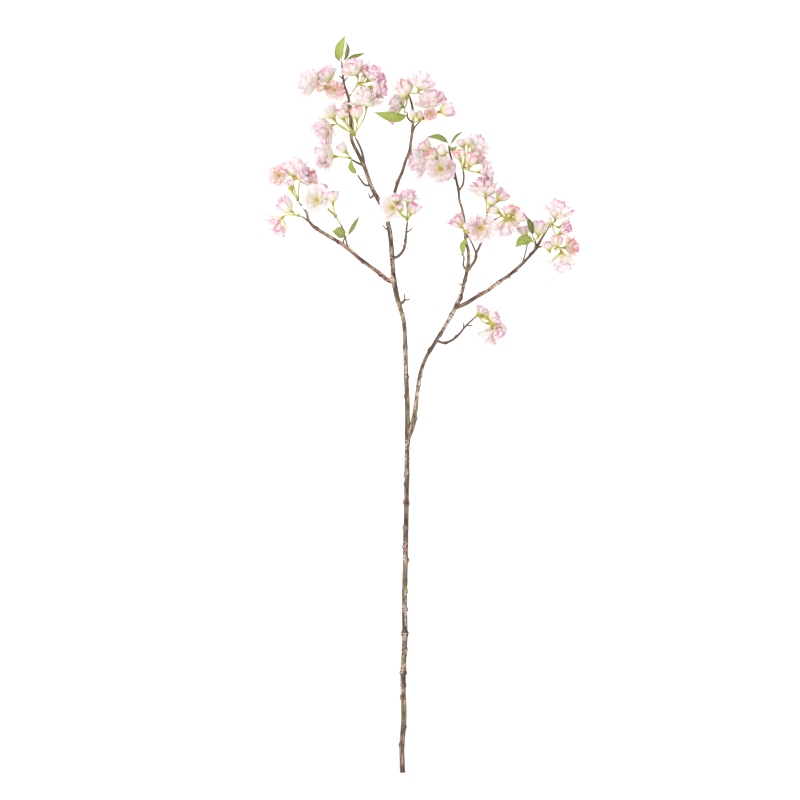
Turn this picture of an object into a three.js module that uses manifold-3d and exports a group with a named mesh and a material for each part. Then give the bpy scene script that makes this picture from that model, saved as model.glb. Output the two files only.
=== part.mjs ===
// A cut sprig of double-flowered cherry, lying on a flat surface. Millimetres, +Z up.
// The sprig lies along Y, with its cut end at low Y, and spreads along X. Its cut end and some of
// its blossoms touch the surface. While it is laid out, X and Y are counted from the middle of the
// cut end and Z from the surface. The finished group is then moved so that its origin is the middle
// of the sprig's footprint.
import * as THREE from "three";
import { mergeVertices } from "three/addons/utils/BufferGeometryUtils.js";
import Module from "manifold-3d";

const wasm = await Module();
wasm.setup();

// Driving dimensions.
const SEAT_GAP = 0.3;
const SLIVER = 0.03;
const WOOD_STEP = 18;
const TWIG_STEP = 9;
const STALK_STEPS = 3;
const BARK_SIDES = 8;
const TWIG_SIDES = 5;
const STALK_SIDES = 4;
const COROLLA_SIDES = 12;
const SMALL_COROLLA_SIDES = 6;
const LEAF_SIDES = 4;
const PEDICEL_RADIUS = 1.15;
const PEDUNCLE_RADIUS = 1.3;
const HUB_RADIUS = 2.4;
const CALYX_LENGTH = 7;
const CALYX_RADIUS = 2.6;
const OPEN_ANGLE = 54;
const HALF_OPEN_DEPTH = 0.86;
const BUD_SLENDERNESS = 1.3;
const RUFFLE = 0.06;
const LEAF_THICKNESS = 1.4;
const LEAF_RINGS = 5;

const bark = { color: 0x6d5a4c, roughness: 0.9, metalness: 0 };
const green = { color: 0x9aa34f, roughness: 0.7, metalness: 0 };
const pink = { color: 0xf3d3dc, roughness: 0.65, metalness: 0 };
const foliage = { color: 0x6f8f3a, roughness: 0.55, metalness: 0 };

// Woody shoots, each with the shoots that it grows from listed first. A point is [x, y, z, radius].
// A shoot starts inside the one that carries it, and its spurs are part of it.
const SHOOTS = {
  main_stem: {
    points: [
      [0, 0, 4.2, 4.2], [-1, 36, 4.8, 4.1], [2, 81, 5.6, 4.2], [1, 126, 6.6, 4],
      [1.5, 164, 7, 4.2], [3.5, 201, 8, 4], [3, 261, 9.5, 4], [4, 306, 10, 4.1],
      [4.5, 336, 10.5, 3.9], [6, 411, 12, 3.9], [7, 486, 13.5, 3.7], [7.5, 504, 14, 4.3],
      [7, 561, 15.5, 3.6], [5, 606, 16, 3.5], [4, 651, 17, 3.3], [1.5, 681, 17.5, 3.4],
      [-7, 711, 18.5, 4], [-13, 741, 19, 3.9], [-15.5, 771, 19.5, 3.6], [-17.5, 801, 20, 3.5],
      [-22, 828, 21, 3.6], [-32, 853, 22, 3.3], [-47, 882, 23.5, 3.3], [-58, 913, 25, 3.2],
      [-68, 933, 26, 2.9], [-76, 951, 26.5, 2.6], [-77, 969, 27, 2.4], [-79, 996, 28, 2.2],
      [-81, 1014, 28.5, 2.1], [-87, 1032, 29, 2], [-89.5, 1050, 29.5, 1.7], [-91, 1066, 30, 1.3],
    ],
    spurs: [
      [[-4, 704, 19, 2.4], [4, 711, 21, 1.6], [11, 712, 21.5, 1.1]],
      [[1, 706, 20, 1.7], [3, 713, 22, 1.2], [2.5, 721, 23.5, 0.9]],
      [[-20, 815, 21, 2], [-26, 819, 22, 1.2], [-30, 824, 23, 0.9]],
      [[-44, 868, 23, 1.8], [-48, 864, 24, 1.3], [-51, 871, 26, 1]],
      [[-58, 912, 25, 2], [-68, 917, 26, 1.8], [-75, 921, 27, 1.4]],
      [[-48, 884, 23.5, 2], [-55, 883, 24.5, 1.7], [-63, 892, 26, 1.4], [-67, 898, 27, 1.3]],
      [[-57, 912, 25, 2.2], [-60, 930, 29, 1.9], [-64, 941, 32, 1.6], [-70, 953, 33, 1.4]],
      [[-89, 1042, 29, 1.2], [-95, 1047, 30.5, 0.8]],
      [[-87, 1036, 29, 1.3], [-93, 1031, 30.5, 0.8]],
      [[-88, 1038, 29, 1.3], [-82, 1045, 31, 0.8]],
    ],
  },
  right_limb: {
    points: [
      [7.5, 500, 14, 3.6], [13, 516, 14, 3.9], [16.5, 528, 14.5, 4.1], [19, 543, 15, 3.6],
      [22, 569, 15.5, 3.2], [26, 597, 16, 2.9], [34.5, 623, 16.5, 2.9], [44, 639, 17, 3.1],
      [56, 659, 18, 3], [71, 684, 18.5, 3], [82, 705, 19, 3.5], [89, 723, 19.5, 3.1],
      [92, 735, 20, 2.8], [97, 756, 20.5, 2.8], [99.5, 780, 21.5, 2.5], [95, 801, 22, 2.2],
      [91.5, 839, 23.5, 2], [85.5, 861, 24.5, 2], [84, 876, 25, 2], [80, 894, 26, 1.8],
      [75, 918, 27, 1.7], [70.5, 935, 27.5, 1.6], [70, 942, 28, 1.5],
    ],
    spurs: [
      [[96, 756, 20.5, 2], [91.5, 763, 20.5, 1.6], [92, 776, 21.5, 1.2], [88, 781, 23.5, 0.9]],
      [[84, 874, 25, 1.6], [90, 883, 27, 1.5], [92, 894, 29, 1.4], [91, 904, 30, 1.3]],
      [[80, 892, 26, 1.5], [76, 895, 27, 1.1], [72, 899, 28, 0.8]],
      [[92, 729, 19.5, 1.8], [87, 735, 20.5, 1], [83, 735, 21, 0.8]],
    ],
  },
  left_branch: {
    points: [
      [-13, 738, 19, 3.3], [-22, 741, 19, 3.4], [-34, 751, 18, 3.1], [-49, 762, 17.5, 3],
      [-64, 773, 17, 2.9], [-79, 786, 17.5, 2.9], [-94, 797, 17, 2.8], [-109, 806, 17, 2.6],
      [-124, 815, 17, 2.5], [-134, 822, 17.5, 2.4], [-141, 831, 18, 2.1], [-144, 842, 19, 1.9],
      [-149, 850, 20, 1.8], [-154, 856, 21, 1.6],
    ],
    spurs: [
      [[-141, 829, 18, 1.4], [-146, 833, 20, 1.3], [-150, 836, 22, 1.2]],
      [[-109, 806, 17, 1.4], [-113, 811, 18, 0.9]],
      [[-84, 789, 17, 1.5], [-89, 799, 18, 1.2], [-86, 805, 19, 1]],
      [[-80, 786, 17.5, 1.6], [-84, 797, 20, 1.4], [-88, 812, 24, 1.2], [-92, 824, 27, 1.2]],
    ],
  },
  upper_right_branch: {
    points: [
      [-22, 826, 21, 2.6], [-17, 848, 22, 2.6], [-12, 872, 23, 2.6], [-7, 888, 23.5, 2.5],
      [-1, 902, 24, 2.4], [5, 921, 25, 2.2], [10, 932, 25.5, 2.5], [13, 951, 26, 2.1],
      [15, 969, 27, 2.2], [16, 987, 27.5, 1.9], [14, 1004, 28.5, 1.7], [9, 1020, 30, 1.3],
    ],
    spurs: [
      [[16, 976, 27, 1.6], [8, 984, 28, 1.4], [7, 992, 29, 1]],
      [[14, 962, 26.5, 1.5], [20, 972, 28, 1.3], [27, 979, 30, 1.2]],
    ],
  },
  middle_shoot: {
    points: [
      [-15, 774, 19.5, 2.2], [-8, 776, 20, 2.2], [-2, 781, 20.5, 2.1], [3, 790, 21, 2],
      [5, 804, 23, 1.8], [6, 817, 25, 1.7], [7.5, 828, 27, 1.5],
    ],
    spurs: [
      [[3, 788, 21, 1.3], [0, 794, 22, 0.8]],
      [[5, 812, 24, 1.3], [12, 816, 25, 1], [15, 820, 26, 0.8]],
    ],
  },
  lower_right_shoot: {
    points: [
      [52, 650, 17.5, 2.1], [61, 647, 17.5, 2.1], [68, 648, 17.5, 2], [76, 652, 18, 2],
      [86, 661, 19, 1.8], [93, 670, 19.5, 1.7], [101, 678, 20.5, 1.5], [110, 686, 22.5, 1.3],
    ],
    spurs: [
      [[92, 668, 19.5, 1.3], [91, 678, 20.5, 0.9]],
      [[97, 673, 20, 1.2], [105, 673, 20.5, 0.8]],
    ],
  },
  right_side_branch: {
    points: [
      [79.5, 699, 19, 3.1], [95, 706, 19, 3.1], [113, 717, 18.5, 3.1], [130, 727, 19, 2.9],
      [146, 739, 19, 2.8], [161, 749, 19.5, 2.6], [176, 762, 20, 2.5], [191, 777, 20.5, 2.4],
      [200, 788, 20.5, 2.4], [207, 800, 21, 1.9], [214, 812, 22, 1.7], [220, 822, 23, 1.4],
    ],
    spurs: [
      [[180, 767, 19.5, 1.4], [184, 780, 21.5, 1.2], [187, 793, 22, 1.1]],
      [[198, 785, 21, 1.6], [200, 797, 22.5, 1.4], [196, 805, 24, 0.9]],
      [[200, 789, 20.5, 1.5], [211, 792, 22, 1.3], [221, 795, 24, 1.2]],
      [[159, 748, 19.5, 1.8], [162, 743, 19, 1]],
    ],
  },
  front_shoot: {
    points: [
      [97, 754, 21, 2.2], [103, 762, 24, 2.2], [109, 771, 26.5, 2.1], [111, 782, 28.5, 1.9],
      [115, 790, 28, 1.8], [121, 806, 27, 1.7], [125, 822, 27, 1.7], [126, 838, 28, 1.5],
    ],
    spurs: [
      [[111, 779, 28, 1.5], [105, 794, 30, 1.3], [98, 807, 32, 1.2], [90, 820, 33, 1.2]],
      [[125, 822, 27, 1.4], [135, 829, 27, 1.3], [142, 834, 27, 1.2]],
    ],
  },
};

// Blossoms by umbel. The hub is where an umbel's stalks part, and the root is a point inside the
// twig below it. A blossom is [name, kind, width, receptacle x, y, z, facing x, y, z]; one with a
// name has its corolla as a piece of its own, and the others are one piece with their stalks.
const OPEN = "open";
const HALF = "half";
const BUD = "bud";
const UMBELS = {
  top_left: {
    root: [-87, 1031, 29], hub: [-92, 1032, 33],
    blossoms: [
      ["outer", OPEN, 50, -128, 1032, 37, -10, 3, 2], ["", OPEN, 40, -107, 1038, 38.5, -6, 8, 1],
      ["", HALF, 15, -116, 1028, 57, -8, 0, 4], ["front", OPEN, 32, -101, 1024, 50, -1, -1, 10],
    ],
  },
  top_right: {
    root: [-81, 1014, 29], hub: [-67, 1034, 35],
    blossoms: [
      ["upper", OPEN, 42, -68, 1047, 44, -4, 9, 2], ["", HALF, 18, -56, 1048, 30, 0, 10, 0],
      ["", OPEN, 40, -51, 1040, 50, 6, 8, 2], ["", HALF, 20, -41, 1041, 28, 10, 3, 0],
      ["", OPEN, 36, -45, 1028, 53, 9, -1, 2], ["", BUD, 8, -61, 1035, 58, 2, 9, 3],
    ],
  },
  upper_middle: {
    root: [-70, 952, 33], hub: [-72, 958, 35],
    blossoms: [
      ["fan", OPEN, 48, -54, 1000, 50, 0, 10, 1], ["", HALF, 22, -68, 980, 60, -1, 10, 1],
      ["", HALF, 20, -80, 994, 20, -5, 9, 0], ["", HALF, 19, -88, 981, 48.5, -4, 9, 2],
      ["", HALF, 26, -103, 983, 24, -5, 9, 1], ["outer", OPEN, 46, -107, 971, 44, -8, -5, 3],
      ["", BUD, 6, -83, 983, 54, 0, 9, 2],
    ],
  },
  left_spur: {
    root: [-75, 921, 27], hub: [-79, 924, 30],
    blossoms: [
      ["", HALF, 18, -85, 932, 48.5, -8, 8, 2], ["open", OPEN, 46, -103, 926, 30, -9, 0, 2],
    ],
  },
  upper_right_tip: {
    root: [9, 1019, 30], hub: [9, 1022, 32],
    blossoms: [
      ["", HALF, 29, 8, 1017, 50, -3, 9, 2], ["left", OPEN, 36, -1, 1000, 40, -8, 5, 3],
      ["fan", OPEN, 44, 25, 1024, 54, 4, 9, 1], ["", HALF, 15, -11, 988, 7.5, -6, -6, 0],
      ["", BUD, 12, 4, 1012, 60, -3, 8, 2],
    ],
  },
  upper_right_side: {
    root: [27, 979, 30], hub: [31, 983, 33],
    blossoms: [
      ["", OPEN, 46, 42, 998, 42, -1, 9, 1], ["", HALF, 17, 52, 1010, 28, 8, 6, 0],
      ["", HALF, 26, 56, 992, 46, 9, 2, 1], ["", OPEN, 21, 41, 988, 56, 1, -1, 10],
      ["", BUD, 10, 16, 981, 52, -1, 10, 1], ["", BUD, 11, 25, 980, 44, 0, 10, 0],
    ],
  },
  left_tip: {
    root: [-154, 855, 21], hub: [-157, 861, 25],
    blossoms: [
      ["", OPEN, 33, -185, 896, 46, -2, 2, 9], ["fan", OPEN, 45, -163, 896, 44, 1, 9, -1],
      ["", HALF, 22, -145, 893, 34, 9, 2, 1], ["", HALF, 15, -166, 878, 57, -3, 9, 2],
      ["", OPEN, 38, -158, 893, 46, 8, 5, 2],
    ],
  },
  left_lower: {
    root: [-149, 835, 22], hub: [-156, 838, 26],
    blossoms: [
      ["", HALF, 31, -166, 843, 48.5, -8, 7, 2], ["drooping", OPEN, 44, -181, 834, 23, -6, -7, 0],
    ],
  },
  left_inner: {
    root: [-92, 823, 27], hub: [-100, 836, 32],
    blossoms: [
      ["front", OPEN, 45, -128, 860, 50, -1, 1, 10], ["", HALF, 17, -121, 872, 26, 2, 9, -1],
      ["", HALF, 22, -104, 856, 54, -1, 10, 1],
    ],
  },
  middle: {
    root: [7, 826, 27], hub: [7, 832, 31],
    blossoms: [
      ["", OPEN, 31, 8, 857, 46, 1, 9, 1], ["", HALF, 24, 12, 839, 40, 4, 9, 1],
      ["front", OPEN, 46, -14, 849, 40, -4, 0, 8], ["", HALF, 14, -9, 856, 54, 0, 9, 1],
      ["", HALF, 11, -4, 844, 58, -1, 9, 2],
    ],
  },
  lower_right: {
    root: [109, 685, 20], hub: [112, 688, 23],
    blossoms: [
      ["", HALF, 17, 113, 689, 40, 4, 9, 1], ["", HALF, 14, 120, 688, 28, 8, 5, 1],
      ["", HALF, 20, 128, 684, 45.5, 9, 3, 2], ["", HALF, 22, 130, 676, 10.5, 10, 0, 0],
      ["drooping", OPEN, 42, 134, 670, 32, -2, -9, 2], ["", OPEN, 29, 140, 671, 42, 6, -7, 2],
    ],
  },
  right_inner: {
    root: [91, 819, 33], hub: [93, 814, 36],
    blossoms: [
      ["", HALF, 25, 88, 820, 35.5, -6, 8, 1], ["", HALF, 15, 98, 813, 52, -1, 10, 1],
    ],
  },
  right_front: {
    root: [124, 820, 27], hub: [122, 817, 32],
    blossoms: [
      ["open", OPEN, 48, 116, 818, 50, 2, -1, 9],
    ],
  },
  right_upper: {
    root: [126, 836, 28], hub: [127, 842, 32],
    blossoms: [
      ["fan", OPEN, 46, 124, 865, 46, -1, 9, 2], ["", HALF, 17, 131, 851, 57, 2, 9, 1],
      ["", HALF, 22, 143, 860, 36, 7, 8, 0],
    ],
  },
  right_cluster: {
    root: [141, 833, 27], hub: [148, 837, 32],
    blossoms: [
      ["", HALF, 20, 144, 841, 50, -8, 5, 2], ["", HALF, 16, 155, 837, 59, 0, 10, 1],
      ["", HALF, 20, 163, 837, 33, 3, 9, 0], ["", HALF, 21, 167, 832, 49, 9, 3, 1],
      ["drooping", OPEN, 41, 154, 832, 33, 1, -9, -1],
    ],
  },
  right_crown: {
    root: [91, 903, 30], hub: [91, 908, 33],
    blossoms: [
      ["", HALF, 16, 91, 939, 44, -4, 9, 1], ["", BUD, 10, 98, 940, 54, 0, 10, 1],
      ["", OPEN, 42, 105, 934, 32, 6, 8, 2], ["", HALF, 19, 86, 920, 56, -3, 9, 1],
      ["", HALF, 25, 100, 910, 55, 3, 9, 1], ["", HALF, 17, 112, 917, 36, 8, 6, 1],
      ["", OPEN, 35, 116, 902, 44, 9, 1, 3],
    ],
  },
  right_crown_left: {
    root: [71, 932, 28], hub: [66, 931, 32],
    blossoms: [
      ["", HALF, 22, 40, 934, 36, -6, 8, 1], ["outer", OPEN, 46, 38, 918, 30, -9, -1, 2],
      ["", HALF, 20, 50, 923, 55, -7, 6, 3], ["", HALF, 20, 62, 926, 56, -4, 9, 2],
      ["front", OPEN, 46, 58, 906, 50, -1, -1, 10], ["", OPEN, 18, 70, 909, 56, 5, -2, 8],
    ],
  },
  far_right_tip: {
    root: [220, 821, 23], hub: [223, 826, 26],
    blossoms: [
      ["fan", OPEN, 48, 229, 832, 44, 3, 9, 2], ["", HALF, 21, 236, 820, 30, 10, 1, 1],
      ["", BUD, 9, 220, 823, 50, -1, 9, 2], ["", HALF, 18, 236, 810, 52, 7, 5, 3],
    ],
  },
  far_right_lower: {
    root: [220, 795, 24], hub: [224, 795, 27],
    blossoms: [
      ["", HALF, 17, 219, 785, 50, -2, 9, 2], ["", HALF, 20, 230, 790, 57, 1, 9, 2],
      ["drooping", OPEN, 46, 238, 782, 34, 1, -9, 0], ["", OPEN, 33, 245, 790, 15.5, 10, 1, 1],
    ],
  },
  far_right_inner: {
    root: [187, 792, 22], hub: [189, 797, 24],
    blossoms: [
      ["", HALF, 28, 204, 808, 26, 1, 9, 0], ["", HALF, 20, 185, 807, 18, -3, 9, 0],
    ],
  },
};

// Leaves. The first point is inside the twig that carries the leaf, and the last is the tip; face
// is the way the upper side looks.
const TOP_BUD = [-91, 1065, 30];
const LEFT_STUB = [-86, 804, 19];
const LEAVES = {
  leaf_top_large: {
    half: 6.8, points: [TOP_BUD, [-92, 1073, 33], [-94, 1086, 36], [-86, 1107, 36]], face: [-2, 0, 9],
  },
  leaf_top_dark: {
    half: 4.6, points: [TOP_BUD, [-87, 1072, 29.5], [-83, 1085, 28], [-84, 1100, 25]], face: [7, 0, 6],
  },
  leaf_top_left: {
    half: 3.8, points: [TOP_BUD, [-94, 1070, 29], [-98, 1077, 28], [-103, 1086, 24]], face: [-6, -3, 6],
  },
  leaf_top_right: {
    half: 3.6, points: [TOP_BUD, [-85, 1067, 33], [-76, 1074, 38], [-54, 1081, 40]], face: [2, -5, 8],
  },
  leaf_left_spur: {
    half: 4.8, points: [[-67, 897, 27], [-70, 901, 30], [-76, 909, 34], [-77, 922, 35]], face: [-4, 0, 9],
  },
  leaf_upper_right: {
    half: 7.6, points: [[7, 991, 29], [1, 988, 36], [-14, 985, 43], [-43, 991, 44]], face: [3, 4, 8],
  },
  leaf_left_broad: {
    half: 8, points: [LEFT_STUB, [-88, 806, 23], [-94, 812, 27], [-106, 815, 25]], face: [0, 3, 9],
  },
  leaf_left_narrow: {
    half: 3.6, points: [LEFT_STUB, [-82, 808, 22], [-74, 822, 26], [-64, 838, 28]], face: [4, -2, 9],
  },
  leaf_right_crown: {
    half: 4.8, points: [[70, 941, 28], [67, 947, 33], [54, 954, 40], [35, 955, 40]], face: [1, 3, 9],
  },
  leaf_right_inner: {
    half: 5.2, points: [[92, 775, 21.5], [91, 783, 26], [91, 792, 31], [97, 804, 39]], face: [-5, 0, 8],
  },
  leaf_far_right_broad: {
    half: 8, points: [[199, 796, 22.5], [192, 800, 28], [181, 801, 32], [169, 790, 30]], face: [0, -3, 9],
  },
  leaf_far_right_dark: {
    half: 6.5, points: [[196, 804, 24], [195, 810, 30], [190, 823, 41], [184, 839, 40]], face: [6, 2, 7],
  },
};

const vector = (place) => new THREE.Vector3(...place);

// A curve through the points, as evenly spaced places with the direction of the curve at each.
function stationsOf(curve, count) {
  const frames = curve.computeFrenetFrames(count, false);
  return Array.from({ length: count + 1 }, (_, i) => ({
    centre: curve.getPointAt(i / count),
    along: frames.tangents[i],
    side: frames.normals[i],
  }));
}

// A lathe solid whose axis is bent to follow the stations. radii holds one radius for each station,
// and the ends are closed flat. A flat cross-section has its thin way along the stations' side.
function bentLathe(stations, radii, sides, thinness = 1) {
  const rings = stations.map((_, i) => i);
  const last = rings.length - 1;
  const profile = [
    new THREE.Vector2(0, 0),
    ...rings.map((i) => new THREE.Vector2(radii[i], i)),
    new THREE.Vector2(0, last),
  ];
  const geometry = new THREE.LatheGeometry(profile, sides);
  const places = geometry.getAttribute("position");
  for (let i = 0; i < places.count; i += 1) {
    const { centre, along, side } = stations[Math.round(places.getY(i))];
    const across = new THREE.Vector3().crossVectors(side, along);
    const place = centre.clone()
      .addScaledVector(side, places.getX(i) * thinness)
      .addScaledVector(across, places.getZ(i));
    places.setXYZ(i, place.x, place.y, place.z);
  }
  return solidOf(geometry);
}

// The closed geometry as a solid, turned right side out.
function solidOf(geometry) {
  geometry.deleteAttribute("normal");
  geometry.deleteAttribute("uv");
  const merged = mergeVertices(geometry, 1e-3);
  const corners = merged.index.array;
  const triVerts = [];
  for (let i = 0; i < corners.length; i += 3) {
    const [a, b, c] = [corners[i], corners[i + 1], corners[i + 2]];
    if (a !== b && b !== c && c !== a) triVerts.push(a, b, c);
  }
  const vertProperties = merged.getAttribute("position").array;
  const made = manifoldOf(vertProperties, Uint32Array.from(triVerts));
  return made.volume() > 0 ? made : manifoldOf(vertProperties, Uint32Array.from(triVerts.reverse()));
}

function manifoldOf(vertProperties, triVerts) {
  return new wasm.Manifold(new wasm.Mesh({ numProp: 3, vertProperties, triVerts }));
}

// A round limb through [x, y, z, radius] points, made thicker all round by grown.
function limb(points, step, sides, grown = 0) {
  const curve = new THREE.CatmullRomCurve3(points.map(([x, y, z]) => new THREE.Vector3(x, y, z)));
  const count = Math.max(2, Math.round(curve.getLength() / step));
  const radii = Array.from({ length: count + 1 }, (_, i) => {
    const along = curve.getUtoTmapping(i / count) * (points.length - 1);
    const before = Math.min(Math.floor(along), points.length - 2);
    return THREE.MathUtils.lerp(points[before][3], points[before + 1][3], along - before) + grown;
  });
  return bentLathe(stationsOf(curve, count), radii, sides);
}

function joined(solids) {
  return solids.reduce((all, one) => all.add(one));
}

// The largest body that is left of a solid once it is cut clear of others, without the slivers
// that cutting leaves.
function cutClear(solid, others) {
  const left = others.reduce((rest, other) => rest.subtract(other), solid);
  return left.simplify(SLIVER).decompose().sort((a, b) => b.volume() - a.volume())[0];
}

const sprig = new THREE.Group();
const taken = [];

function touches(a, b) {
  const [boxA, boxB] = [a.boundingBox(), b.boundingBox()];
  return [0, 1, 2].every((k) => boxA.min[k] < boxB.max[k] && boxB.min[k] < boxA.max[k]);
}

// Adds a piece to the sprig, cut clear of what is already there. grown is the same piece made
// thicker by the seat gap, which later pieces are cut clear of.
function addPiece(name, solid, grown, finish) {
  const piece = cutClear(solid, taken.filter((other) => touches(solid, other)));
  taken.push(grown);
  const made = piece.getMesh();
  const geometry = new THREE.BufferGeometry();
  geometry.setAttribute("position", new THREE.BufferAttribute(made.vertProperties, 3));
  geometry.setIndex(new THREE.BufferAttribute(made.triVerts, 1));
  geometry.computeVertexNormals();
  const mesh = new THREE.Mesh(geometry, new THREE.MeshStandardMaterial(finish));
  mesh.name = name;
  sprig.add(mesh);
}

function woodyShoot({ points, spurs }, grown = 0) {
  const axis = limb(points, WOOD_STEP, BARK_SIDES, grown);
  return joined([axis, ...spurs.map((spur) => limb(spur, TWIG_STEP, TWIG_SIDES, grown))]);
}

// A blossom's row as named values.
function blossomOf([name, kind, width, x, y, z, ...facing]) {
  return { name, kind, width, base: new THREE.Vector3(x, y, z), facing: vector(facing).normalize() };
}

// A stalk from the hub to a blossom's base, which it meets along the way the blossom faces. It
// widens into the calyx at its end.
function stalk(hub, { base, facing }, grown = 0) {
  const reach = base.distanceTo(hub);
  const calyx = Math.min(CALYX_LENGTH, reach / 3);
  const bend = base.clone().addScaledVector(facing, -0.45 * reach);
  const curve = new THREE.CubicBezierCurve3(hub, hub.clone().lerp(base, 0.3), bend, base);
  const plain = Array.from({ length: STALK_STEPS + 1 }, (_, i) => (i / STALK_STEPS) * (1 - calyx / reach));
  const stations = [...plain, 1 - calyx / reach / 2, 1].map((share) => {
    const along = curve.getTangentAt(share);
    const side = new THREE.Vector3(along.y, -along.x, 0.01).cross(along).normalize();
    return { centre: curve.getPointAt(share), along, side };
  });
  const radii = plain.map(() => PEDICEL_RADIUS + grown);
  radii.push((PEDICEL_RADIUS + CALYX_RADIUS) / 2 + grown, CALYX_RADIUS + grown);
  return bentLathe(stations, radii, STALK_SIDES);
}

// The outline of a corolla as [radius, height] shares of its width, from its base round to the
// middle of its mouth.
function corollaOutline(kind, width, plain) {
  const radius = width / 2;
  if (kind === BUD) {
    const length = width * BUD_SLENDERNESS;
    return [[0, 0], [0.85, 0.28], [0.9, 0.62], [0, 1]].map(([r, h]) => [r * radius, h * length]);
  }
  if (kind === HALF) {
    const depth = width * HALF_OPEN_DEPTH;
    return [[0, 0], [0.74, 0.26], [0.96, 0.6], [0.8, 1], [0, 0.92]].map(([r, h]) => [r * radius, h * depth]);
  }
  const rise = radius / Math.tan(THREE.MathUtils.degToRad(OPEN_ANGLE));
  const dome = 0.5 * radius;
  if (plain) return [[0, 0], [radius * 0.7, rise * 0.5], [radius, rise], [0, rise + dome]];
  return [
    [0, 0],
    [2.2, 0],
    [radius * 0.62, rise * 0.42],
    [radius, rise],
    [radius * 0.86, rise + dome * 0.6],
    [radius * 0.45, rise + dome],
    [0, rise + dome * 0.8],
  ];
}

// A corolla on its receptacle: a turned solid with a ruffled rim, gap clear of its calyx.
function corolla({ name, kind, width, base, facing }, sides, gap, grown = 0) {
  const outline = corollaOutline(kind, width, name === "");
  const highest = Math.max(...outline.map(([, h]) => h));
  const growth = 1 + (2 * grown) / width;
  const profile = outline.map(([r, h]) => new THREE.Vector2(r * growth, h * growth - grown));
  const geometry = new THREE.LatheGeometry(profile, sides);
  const places = geometry.getAttribute("position");
  for (let i = 0; i < places.count; i += 1) {
    const turn = Math.atan2(places.getX(i), places.getZ(i));
    const lift = THREE.MathUtils.clamp(places.getY(i) / highest, 0, 1);
    const ruffle = kind === BUD ? 1 : 1 + RUFFLE * lift * Math.cos((turn * sides) / 2);
    places.setX(i, places.getX(i) * ruffle);
    places.setZ(i, places.getZ(i) * ruffle);
  }
  const up = new THREE.Vector3(0, 1, 0);
  const place = new THREE.Matrix4()
    .makeRotationFromQuaternion(new THREE.Quaternion().setFromUnitVectors(up, facing))
    .setPosition(base.clone().addScaledVector(facing, gap));
  return solidOf(geometry.applyMatrix4(place));
}

// A leaf blade: a limb flattened across the way its upper side looks, with its stalk at the start.
function blade({ half, points, face }, grown = 0) {
  const curve = new THREE.CatmullRomCurve3(points.map(vector));
  const stations = stationsOf(curve, LEAF_RINGS).map(({ centre, along }) => {
    const side = vector(face).projectOnPlane(along).normalize();
    return { centre, along, side };
  });
  const widths = [0.16, 0.62, 1, 0.86, 0.45, 0.05].map((share) => share * half + grown);
  return bentLathe(stations, widths, LEAF_SIDES, (LEAF_THICKNESS / 2 + grown) / (half + grown));
}

for (const [name, shoot] of Object.entries(SHOOTS)) {
  addPiece(name, woodyShoot(shoot), woodyShoot(shoot, SEAT_GAP), bark);
}

// The stalks of each umbel, with the corollas that are one piece with them.
for (const [place, { root, hub, blossoms }] of Object.entries(UMBELS)) {
  const middle = vector(hub);
  const all = blossoms.map(blossomOf);
  const stalks = (grown) => {
    const ends = [root, hub].map((end) => [...end, PEDUNCLE_RADIUS]);
    const small = all.filter(({ name }) => name === "");
    return joined([
      limb(ends, TWIG_STEP, STALK_SIDES, grown),
      solidOf(new THREE.IcosahedronGeometry(HUB_RADIUS + grown).translate(...hub)),
      ...all.map((blossom) => stalk(middle, blossom, grown)),
      ...small.map((blossom) => corolla(blossom, SMALL_COROLLA_SIDES, -1, grown)),
    ]);
  };
  addPiece(`stalks_${place}`, stalks(0), stalks(SEAT_GAP), green);
}

for (const [place, { blossoms }] of Object.entries(UMBELS)) {
  for (const blossom of blossoms.map(blossomOf).filter(({ name }) => name !== "")) {
    const shape = (grown) => corolla(blossom, COROLLA_SIDES, SEAT_GAP, grown);
    addPiece(`corolla_${place}_${blossom.name}`, shape(0), shape(SEAT_GAP), pink);
  }
}

for (const [name, shape] of Object.entries(LEAVES)) {
  addPiece(name, blade(shape), blade(shape, SEAT_GAP), foliage);
}

// The origin goes to the middle of the footprint, on the surface.
const box = new THREE.Box3().setFromObject(sprig, true);
const footprint = box.getCenter(new THREE.Vector3());
sprig.position.set(-footprint.x, -footprint.y, -box.min.z);

export default sprig;
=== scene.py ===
import math
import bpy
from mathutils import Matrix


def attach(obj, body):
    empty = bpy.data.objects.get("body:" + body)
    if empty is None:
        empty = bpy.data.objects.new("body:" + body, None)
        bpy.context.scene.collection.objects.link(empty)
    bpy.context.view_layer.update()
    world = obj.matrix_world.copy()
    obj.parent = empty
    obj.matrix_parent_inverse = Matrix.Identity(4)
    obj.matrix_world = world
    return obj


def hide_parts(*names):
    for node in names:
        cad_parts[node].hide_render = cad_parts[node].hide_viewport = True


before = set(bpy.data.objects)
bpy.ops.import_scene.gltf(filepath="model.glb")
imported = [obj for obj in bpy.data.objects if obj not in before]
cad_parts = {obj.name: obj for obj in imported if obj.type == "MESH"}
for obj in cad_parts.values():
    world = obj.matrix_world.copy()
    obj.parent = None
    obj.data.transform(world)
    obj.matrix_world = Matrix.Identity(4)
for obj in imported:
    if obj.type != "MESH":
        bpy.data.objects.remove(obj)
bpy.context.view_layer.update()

import zlib

import bpy
import numpy as np
from mathutils import Vector

# A cut sprig of double-flowered cherry, lying on a pale floor and seen from straight above.
# The tables give the CAD model's own layout in millimetres: X and Y from the middle of the cut
# end, Z from the floor. placed() turns them into the frame's metres, from where the frame has the
# cut end.

# Camera and light.
LENS = 180.0
SENSOR = 36.0
VIEW_WIDTH = 1200.0
VIEW_CENTRE = (-3.75, 561.0, 26.0)
KEY_POWER = 60.0
FILL_POWER = 4.0
SKY_STRENGTH = 0.9
FLOOR_GLOW = 0.6
GAMMA = 1.15
FLOOR_SIZE = 12.0
CAMERA_REACH = 100.0

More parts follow.
